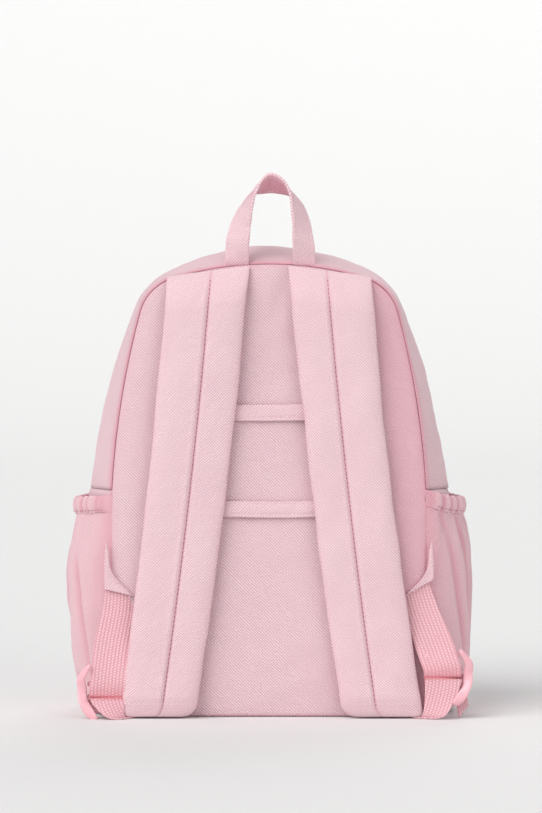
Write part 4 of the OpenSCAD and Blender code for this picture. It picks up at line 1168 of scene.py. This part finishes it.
def makeWebbing(way, tail):
    # the strip hangs from the tab, runs down over the lock's middle bars and folds back behind them
    look = hang[tail]
    lockX, lockY = lockPlace(tail)
    fold = look["fold"]
    knots = [(x, coverY - y, z) for x, y, z in look["web"]]
    lastX, lastY = knots[-1][0], knots[-1][1]
    knots += [(lastX + 0.4, lastY - 0.1, fold + 5), (lastX + 0.5, lastY + 0.3, fold + 1.2),
              (lastX + 0.5, lastY + 1.4, fold), (lastX + 0.5, lastY + 3.0, fold + 1.8),
              (lastX + 0.5, lastY + 3.6, fold + 9)]
    path = smoothPath(knots, 150)
    lean = np.interp(path[:, 2], [fold, fold + 26, 88, 103], look["lean"])
    side = np.stack([np.cos(lean), 0 * lean, np.sin(lean)], -1)
    width = np.interp(path[:, 2], [fold, 60, 90, 103], [30, 30, 27, 25])
    over, under, uv = band(path, side, width, hardware["webThick"], cols=31, power=5)
    for skin in (over, under):
        skin[..., 1] += 0.35 * ripple(skin, 26, 131)
        skin[..., 0] *= way
    # painted shade: deeper colour at the fold under the lock
    paintedShade = np.exp(-((over[..., 2] - fold) / 1.4) ** 2) + 0.45 * np.exp(-((over[..., 2] - fold) / 9) ** 2)
    made = closedPiece("adjusterWebbing" + tail.title(), over, under, uv, paintedShade.clip(0, 1))
    topX = way * look["web"][0][0]
    dress(made, webbing, bodies=("bag", "strap_" + tail), blendFrom=(topX, coverY, 92),
          blendTo=(topX, coverY, 52), replaces=["adjuster_webbing_" + tail, "webbing_tail_" + tail])
    # end loop: from the fold down and in under the strap's end
    outer, inner = ([(x, coverY - y, z) for x, y, z in look[key]] for key in ("loopOuter", "loopInner"))
    over, under, uv = ruledBand(outer, inner, hardware["webThick"], 90, cols=27)
    for skin in (over, under):
        skin[..., 0] *= way
        skin[..., 2] = skin[..., 2].clip(0.25)
    # painted shade: deeper colour at the fold
    paintedShade = 0.8 * np.exp(-((over[..., 2] - fold) / 1.6) ** 2)
    made = closedPiece("strapEndLoop" + tail.title(), over, under, uv, paintedShade)
    dress(made, webbing, "strap_" + tail, replaces=["strap_end_loop_" + tail])
    # loose end of the adjuster, cut and melted at its tip
    knots = [(lockX + 8, lockY + 3.4, fold + 1), (lockX + 13, lockY + 3.8, fold - 5),
             (lockX + 17, lockY + 3.2, 5)]
    path = smoothPath(knots, 30)
    over, under, uv = band(path, (0.62, 0, 0.78), 13, 1.5, cols=17, power=5)
    for skin in (over, under):
        skin[..., 0] *= way
    made = closedPiece("adjusterEnd" + tail.title(), over, under, uv)
    dress(made, webbing, "strap_" + tail)


def roundedRings(path, side, wide, deep, cols=16, power=3.2):
    # closed profile carried along a path: a squared-off ellipse, wide along side and deep across it
    path = np.asarray(path, float)
    side = unit(np.broadcast_to(np.asarray(side, float), path.shape))
    up = unit(np.cross(np.gradient(path, axis=0), side))
    side = unit(np.cross(up, np.gradient(path, axis=0)))
    t = np.linspace(0, 2 * np.pi, cols, endpoint=False)
    c = np.sign(np.cos(t)) * np.abs(np.cos(t)) ** (2 / power)
    d = np.sign(np.sin(t)) * np.abs(np.sin(t)) ** (2 / power)
    wide, deep = np.broadcast_to(wide, len(path)), np.broadcast_to(deep, len(path))
    return (path[:, None] + side[:, None] * (wide[:, None] / 2 * c)[..., None]
            + up[:, None] * (deep[:, None] / 2 * d)[..., None])


def makeLock(way, tail):
    # a wavy blade outside, a plain rail inside under the webbing, and four bars between them
    look = hang[tail]
    lockX, lockY = lockPlace(tail)
    low, high = lockLow[2] - 4.0 + look["lift"], lockHigh[2] - 2 + look["lift"]
    t = np.linspace(0, 1, 90)
    ends = np.sqrt(1 - (1 - (np.minimum(t, 1 - t) / 0.07).clip(0, 1)) ** 2) * 0.8 + 0.2
    blade, swing = smoothPath(hardware["blade"], 90), smoothPath(hardware["bladeSwing"], 90)
    wide = np.interp(t, [0, 0.15, 0.4, 0.7, 0.9, 1], [6.5, 8.0, 8.0, 7.0, 4.8, 3.0])
    path = np.stack([lockX + np.interp(t, blade[:, 0], blade[:, 1]),
                     lockY + np.interp(t, swing[:, 0], swing[:, 1]), low + (high - low) * t], -1)
    turn = np.interp(t, [0, 0.3, 0.6, 1], [0.55, -0.4, 0.15, 0.75])
    side = np.stack([np.cos(turn), np.sin(turn), 0 * t], -1)
    parts = [("railOuter", roundedRings(path, side, wide * ends, 3.0 * ends, cols=20, power=2.8))]
    railX = hardware["railInner"]
    path = np.stack([lockX + railX + 0 * t, lockY + 0.6 + 0 * t, low + 3 + (high - low - 6) * t], -1)
    parts.append(("railInner", roundedRings(path, (1, 0, 0), 3.4 * ends, 3.6 * ends)))
    for name, (share, drop, reach) in hardware["bars"].items():
        x = np.linspace(railX, reach, 24)
        z = low + (high - low) * share
        path = np.stack([lockX + x, lockY + drop + 0 * x, z + 0.5 * np.cos(np.pi * x / 26)], -1)
        parts.append((name, roundedRings(path, (0, 0, 1), 3.8, 3.0, cols=12, power=2.4)))
    for name, rings in parts:
        rings = rings * [way, 1, 1]
        flatUv = np.stack(np.meshgrid(np.arange(rings.shape[1] + 1.0), np.arange(len(rings))), -1)
        made = tubePiece("lock" + name[0].upper() + name[1:] + tail.title(), rings, flatUv)
        dress(made, bucklePlastic, "strap_" + tail,
              replaces=["ladder_lock_" + tail] if name == "railOuter" else ())


for way, tail in ((-1, "left"), (1, "right")):
    makeTab(way, tail)
    makeWebbing(way, tail)
    makeLock(way, tail)
print("tabs, webbing and locks made")

# front panel: one cloth across the fold, flat behind the pocket and gently full above it
frontPanel = {"rows": 130, "cols": 100, "edge": 5.0, "full": 3.2, "foldLow": 172, "foldHigh": 192,
              "fullFrom": 158, "fullOver": 45}


def makeFrontPanel():
    arch = crestArch - (frontTaper + 2.2) * insetWay
    line = archLine(arch, 1.5)
    grid = coons(line, 0.40, frontPanel["rows"], frontPanel["cols"])
    near = seamDistance(grid, line, 1500)
    roll = np.sqrt(1 - (1 - (near / frontPanel["edge"]).clip(0, 1)) ** 2)
    flat = np.stack([grid[..., 0], 0 * near, grid[..., 1]], -1)
    above = ((grid[..., 1] - frontPanel["fullFrom"]) / frontPanel["fullOver"]).clip(0, 1)
    full = frontPanel["full"] * above * (1 - np.exp(-near / 28)) + 0.5 * ripple(flat, 60, 141) * above
    points = flat.copy()
    points[..., 1] = frontY + 0.2 + (1.7 + full) * roll
    # painted shade: deeper pink next to the seam
    made = sheetPiece("frontPanel", points, (0, 1, 0), grid * [-1, 1], thick=1.4,
                      paintedShade=np.exp(-near / 2.5) * 0.8)
    dress(made, shellCloth, bodies=("bag", "front_flap"),
          blendFrom=(0, frontY, frontPanel["foldLow"]), blendTo=(0, frontY, frontPanel["foldHigh"]),
          replaces=["front_panel_lower", "front_panel_upper"])


makeFrontPanel()


def makeTape(tail, way, body, nodeName):
    # half of the zip: tape from under the cloth's edge to the teeth
    inner = zipY - way * 0.15
    outer = zipY - way * (halfGap + 5)
    y = np.linspace(outer, inner, 12)
    points = hoops(y, 2.4 - 0.3 * np.linspace(0, 1, 12) ** 3, zipEnd + 0.3)
    made = sheetPiece("zipTape" + tail, points, (0, 0, 1), thick=0.9)
    dress(made, tapeCloth, body, replaces=[nodeName])
    row = hoops(np.array([zipY - way * 1.0]), 1.5, zipEnd + 1, steps=(60, 30, 80))[0]
    total = runLength(row)[-1]
    count = int(total / 1.5)
    at = (np.arange(count) + (0.25 if way > 0 else 0.75)) / count
    centres = alongLine(row, at)
    outward = unit(centres - [0, zipY, bodyMiddle])
    teeth = beads("zipTeeth" + tail, centres, (0, 1, 0), outward * [1, 0, 1], 2.5, 0.52, 0.9)
    dress(teeth, zipPlastic, body)


makeTape("Rear", 1, "bag", "main_zip_rear_tape")
makeTape("Front", -1, "front_flap", "main_zip_front_tape")


def makeEdgeStitches():
    # topstitching beside the main zip on both gussets
    for tail, y, body in (("Rear", zipY - halfGap - 3.2, "bag"),
                          ("Front", zipY + halfGap + 3.2, "front_flap")):
        row = hoops(np.array([y]), 0.0, zipEnd + 3, steps=(60, 30, 80))[0]
        outward = unit((row - [0, y, bodyMiddle]) * [1, 0, 1])
        line = stitchLine("gussetStitches" + tail, row + outward * 0.35, outward, 2.6, 1.2, 0.32)
        dress(line, threadFinish, body)


makeEdgeStitches()


def makeEndTabs():
    for way, tail in ((-1, "left"), (1, "right")):
        low, high = boxMm("zip_end_tab_" + tail)
        ys, zs = np.linspace(low[1], high[1], 22), np.linspace(low[2] - 0.5, high[2] + 3, 16)
        u, v = np.linspace(-1, 1, 22)[:, None], np.linspace(-1, 1, 16)[None, :]
        puff = 1.1 * ((1 - np.abs(u) ** 5) * (1 - np.abs(v) ** 5)).clip(0) ** 0.4
        wall = wallAt(ys[:, None], np.broadcast_to(zs[None, :], (22, 16)))
        over, under = (np.stack(np.broadcast_arrays((wall + 0.9 + share * puff) * way, ys[:, None],
                                                    zs[None, :]), -1) for share in (1, -0.4))
        made = closedPiece("zipEndTab" + tail.title(), over, under)
        dress(made, shellCloth, "bag", replaces=["zip_end_tab_" + tail])


makeEndTabs()
print("front panel and main zip made")

# front pocket
frontPocket = {"corner": 18, "crown": 2.0, "faceRows": 70, "faceCols": 90}
faceLow, faceHigh = boxMm("front_pocket_face")


def roundedRect(x, low, high, r, count=24):
    # closed outline of a rectangle with quarter circles at its corners
    turn = np.linspace(0, np.pi / 2, count)
    c, s = r * np.cos(turn), r * np.sin(turn)
    corners = [(-x + r - c, low + r - s), (x - r + s, low + r - c), (x - r + c, high - r + s),
               (-x + r - s, high - r + c)]
    return np.concatenate([np.stack(corner, -1) for corner in corners])


def makeFrontPocket():
    half, low, high = faceHigh[0], faceLow[2], faceHigh[2]
    edge = roundedRect(half - 0.6, low + 0.6, high - 0.6, frontPocket["corner"])
    loop = np.concatenate([edge, edge[:1]])
    # a grid in the rounded rectangle: the square's grid, its corners drawn in along the outline
    u = (spread(frontPocket["faceCols"]) * 2 - 1)[None, :]
    v = (spread(frontPocket["faceRows"]) * 2 - 1)[:, None]
    r = frontPocket["corner"]
    hx, hz = half - 0.6, (high - low) / 2 - 0.6
    x, z = hx * u + 0 * v, hz * v + 0 * u
    cx, cz = (np.abs(x) - hx + r).clip(0), (np.abs(z) - hz + r).clip(0)
    longest = np.maximum(cx, cz)
    shrink = np.where(longest > 0, longest / np.maximum(np.hypot(cx, cz), 1e-6), 1)
    x = np.sign(x) * (np.abs(x) - cx + cx * shrink)
    z = np.sign(z) * (np.abs(z) - cz + cz * shrink) + (low + high) / 2
    grid = np.stack([x, z], -1)
    near = seamDistance(grid, edge, 1200)
    roll = np.sqrt(1 - (1 - (near / 4.5).clip(0, 1)) ** 2)
    flat = np.stack([x, 0 * x, z], -1)
    y = (faceLow[1] - 3.2 + 4.6 * roll + frontPocket["crown"] * (1 - np.exp(-near / 26))
         + 0.45 * roll * ripple(flat, 48, 151))
    points = np.stack([x, y, z], -1)
    # painted shade: deeper pink next to the seam
    made = sheetPiece("frontPocketFace", points, (0, 1, 0), np.stack([-x, z], -1), thick=1.2,
                      paintedShade=np.exp(-near / 2.0) * 0.8)
    dress(made, shellCloth, "bag", replaces=["front_pocket_face"])
    # gusset: the outline carried from the panel to the face, open along the top for the lip and zip
    slot = half - r
    line = loop - (loop - [0, (low + high) / 2]) * [0.012, 0.02]
    start = int(np.abs(line - [slot, high - 1.3]).sum(-1).argmin())
    end = int(np.abs(line - [-slot, high - 1.3]).sum(-1).argmin())
    around = np.concatenate([line[end:-1], line[:start + 1]])
    around = alongLine(around, np.linspace(0, 1, 240))
    ys = np.linspace(frontY + 2.4, faceLow[1] - 3.0, 20)
    share = np.linspace(0, 1, 20)[:, None]
    out = unit(around - [0, (low + high) / 2])
    bulge = (0.8 * np.sin(np.pi * share) * (1 + 0.5 * ripple(
        np.stack([around[:, 0], 0 * around[:, 0], around[:, 1]], -1), 24, 152)[None, :]))[..., None]
    flatGrid = around[None] - out[None] * 1.2 + out[None] * bulge
    points = np.stack(np.broadcast_arrays(flatGrid[..., 0], ys[:, None], flatGrid[..., 1]), -1)
    made = sheetPiece("frontPocketGusset", points, points - [0, 80, (low + high) / 2], thick=1.2)
    dress(made, shellCloth, "bag", replaces=["front_pocket_gusset"])
    # strip of gusset between the zip and the face
    tapeHigh = boxMm("pocket_zip_front_tape")[1]
    lipLow, lipHigh = boxMm("front_pocket_lip")
    xs = np.linspace(-slot - 2, slot + 2, 60)
    for name, y0, y1, body, nodes in (
            ("frontPocketStrip", tapeHigh[1] - 2.5, faceLow[1] - 2.8, "bag", ()),
            ("frontPocketLip", lipLow[1], lipHigh[1], "pocket_lip", ("front_pocket_lip",))):
        path = np.stack([xs, 0 * xs + (y0 + y1) / 2, 0 * xs + high - 1.0 + 0.2 * ripple(
            np.stack([xs, 0 * xs, 0 * xs], -1), 40, 153)], -1)
        if body == "pocket_lip":
            path = path * [0.985, 1, 1]
        over, under, uv = band(path, (0, 1, 0), y1 - y0, 1.6, cols=19, power=6)
        made = closedPiece(name, over, under, uv)
        dress(made, shellCloth, body, replaces=nodes)
    for name, nodeName, body, way in (("pocketTapeLip", "pocket_zip_lip_tape", "pocket_lip", 1),
                                      ("pocketTapeFront", "pocket_zip_front_tape", "bag", -1)):
        low2, high2 = boxMm(nodeName)
        xs = np.linspace(low2[0], high2[0], 80)
        path = np.stack([xs, 0 * xs + (low2[1] + high2[1]) / 2, 0 * xs + low2[2] + 0.7], -1)
        made = bandPiece(name, path, (0, 1, 0), high2[1] - low2[1], 1.2, cols=13, power=6)
        dress(made, tapeCloth, body, replaces=[nodeName])
        edgeY = (high2[1] if way > 0 else low2[1]) - way * 1.0
        count = int((high2[0] - low2[0]) / 1.5)
        centres = np.stack([low2[0] + 0.8 + (np.arange(count) + (0.25 if way > 0 else 0.75)) * 1.5,
                            np.full(count, edgeY), np.full(count, high2[2] - 0.75)], -1)
        centres = centres[np.abs(centres[:, 0]) < high2[0] - 0.5]
        teeth = beads(name.replace("Tape", "Teeth"), centres, (0, 1, 0), (0, 0, 1), 2.4, 0.5, 0.9)
        dress(teeth, zipPlastic, body)


makeFrontPocket()
print("front pocket made")

# inside: lining, bindings and the board in the base
inside = {"liningThick": 0.8, "bindingWidth": 6, "liningFlat": (0.252, 0.36), "liningArea": 0.086}


def makeInside():
    low, high = boxMm("back_panel_lining")
    line = archLine(backArch - 2.6 * insetWay, low[2])
    grid = coons(line, 0.40, 60, 50)
    flat = np.stack([grid[..., 0], 0 * grid[..., 0], grid[..., 1]], -1)
    points = flat.copy()
    points[..., 1] = high[1] + 0.1 - 0.25 * ripple(flat, 50, 161)
    made = sheetPiece("backLining", points, (0, 1, 0), grid * [-1, 1], thick=inside["liningThick"])
    dress(made, liningCloth, "bag", replaces=["back_panel_lining"])
    for name, nodeName, arch, foot, body in (
            ("rearBinding", "rear_seam_binding", backArch, 4.6, "bag"),
            ("frontBinding", "front_seam_binding", crestArch - frontTaper * insetWay, zipEnd + 0.3,
             "front_flap")):
        low, high = boxMm(nodeName)
        mid = archLine(arch - (2.5 + inside["bindingWidth"] / 2) * insetWay, foot)
        path = np.stack([mid[:, 0], 0 * mid[:, 0] + (low[1] + high[1]) / 2, mid[:, 1]], -1)
        path = alongLine(path, np.linspace(0, 1, 160))
        side = unit(np.cross(np.gradient(path, axis=0), (0, 1, 0)))
        made = bandPiece(name, path, side, inside["bindingWidth"], 1.1, cols=11, power=4)
        dress(made, tapeCloth, body, replaces=[nodeName])
    low, high = boxMm("base_board")
    ys = np.linspace(low[1], high[1], 30)
    half = wallAt(ys, np.full(30, 3.0)) - 2.6
    u = spread(40) * 2 - 1
    shape = np.stack(np.broadcast_arrays(half[:, None] * u[None, :], ys[:, None], 0.0), -1)
    v = np.linspace(-1, 1, 30)[:, None]
    edge = ((1 - np.abs(u[None, :]) ** 20) * (1 - np.abs(v) ** 20)).clip(0) ** 0.3
    over, under = shape.copy(), shape.copy()
    over[..., 2] = (low[2] + high[2]) / 2 + edge * (high[2] - low[2]) / 2
    under[..., 2] = (low[2] + high[2]) / 2 - edge * (high[2] - low[2]) / 2
    made = closedPiece("baseBoard", over, under)
    dress(made, foamCloth, "bag", replaces=["base_board"])


makeInside()

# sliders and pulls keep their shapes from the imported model
for name in ("main_slider_left", "main_slider_right", "main_pull_left", "main_pull_right", "pocket_slider",
             "pocket_pull"):
    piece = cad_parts[name]
    piece.data.materials.clear()
    piece.data.materials.append(paintedMetal)
print("inside and sliders made")
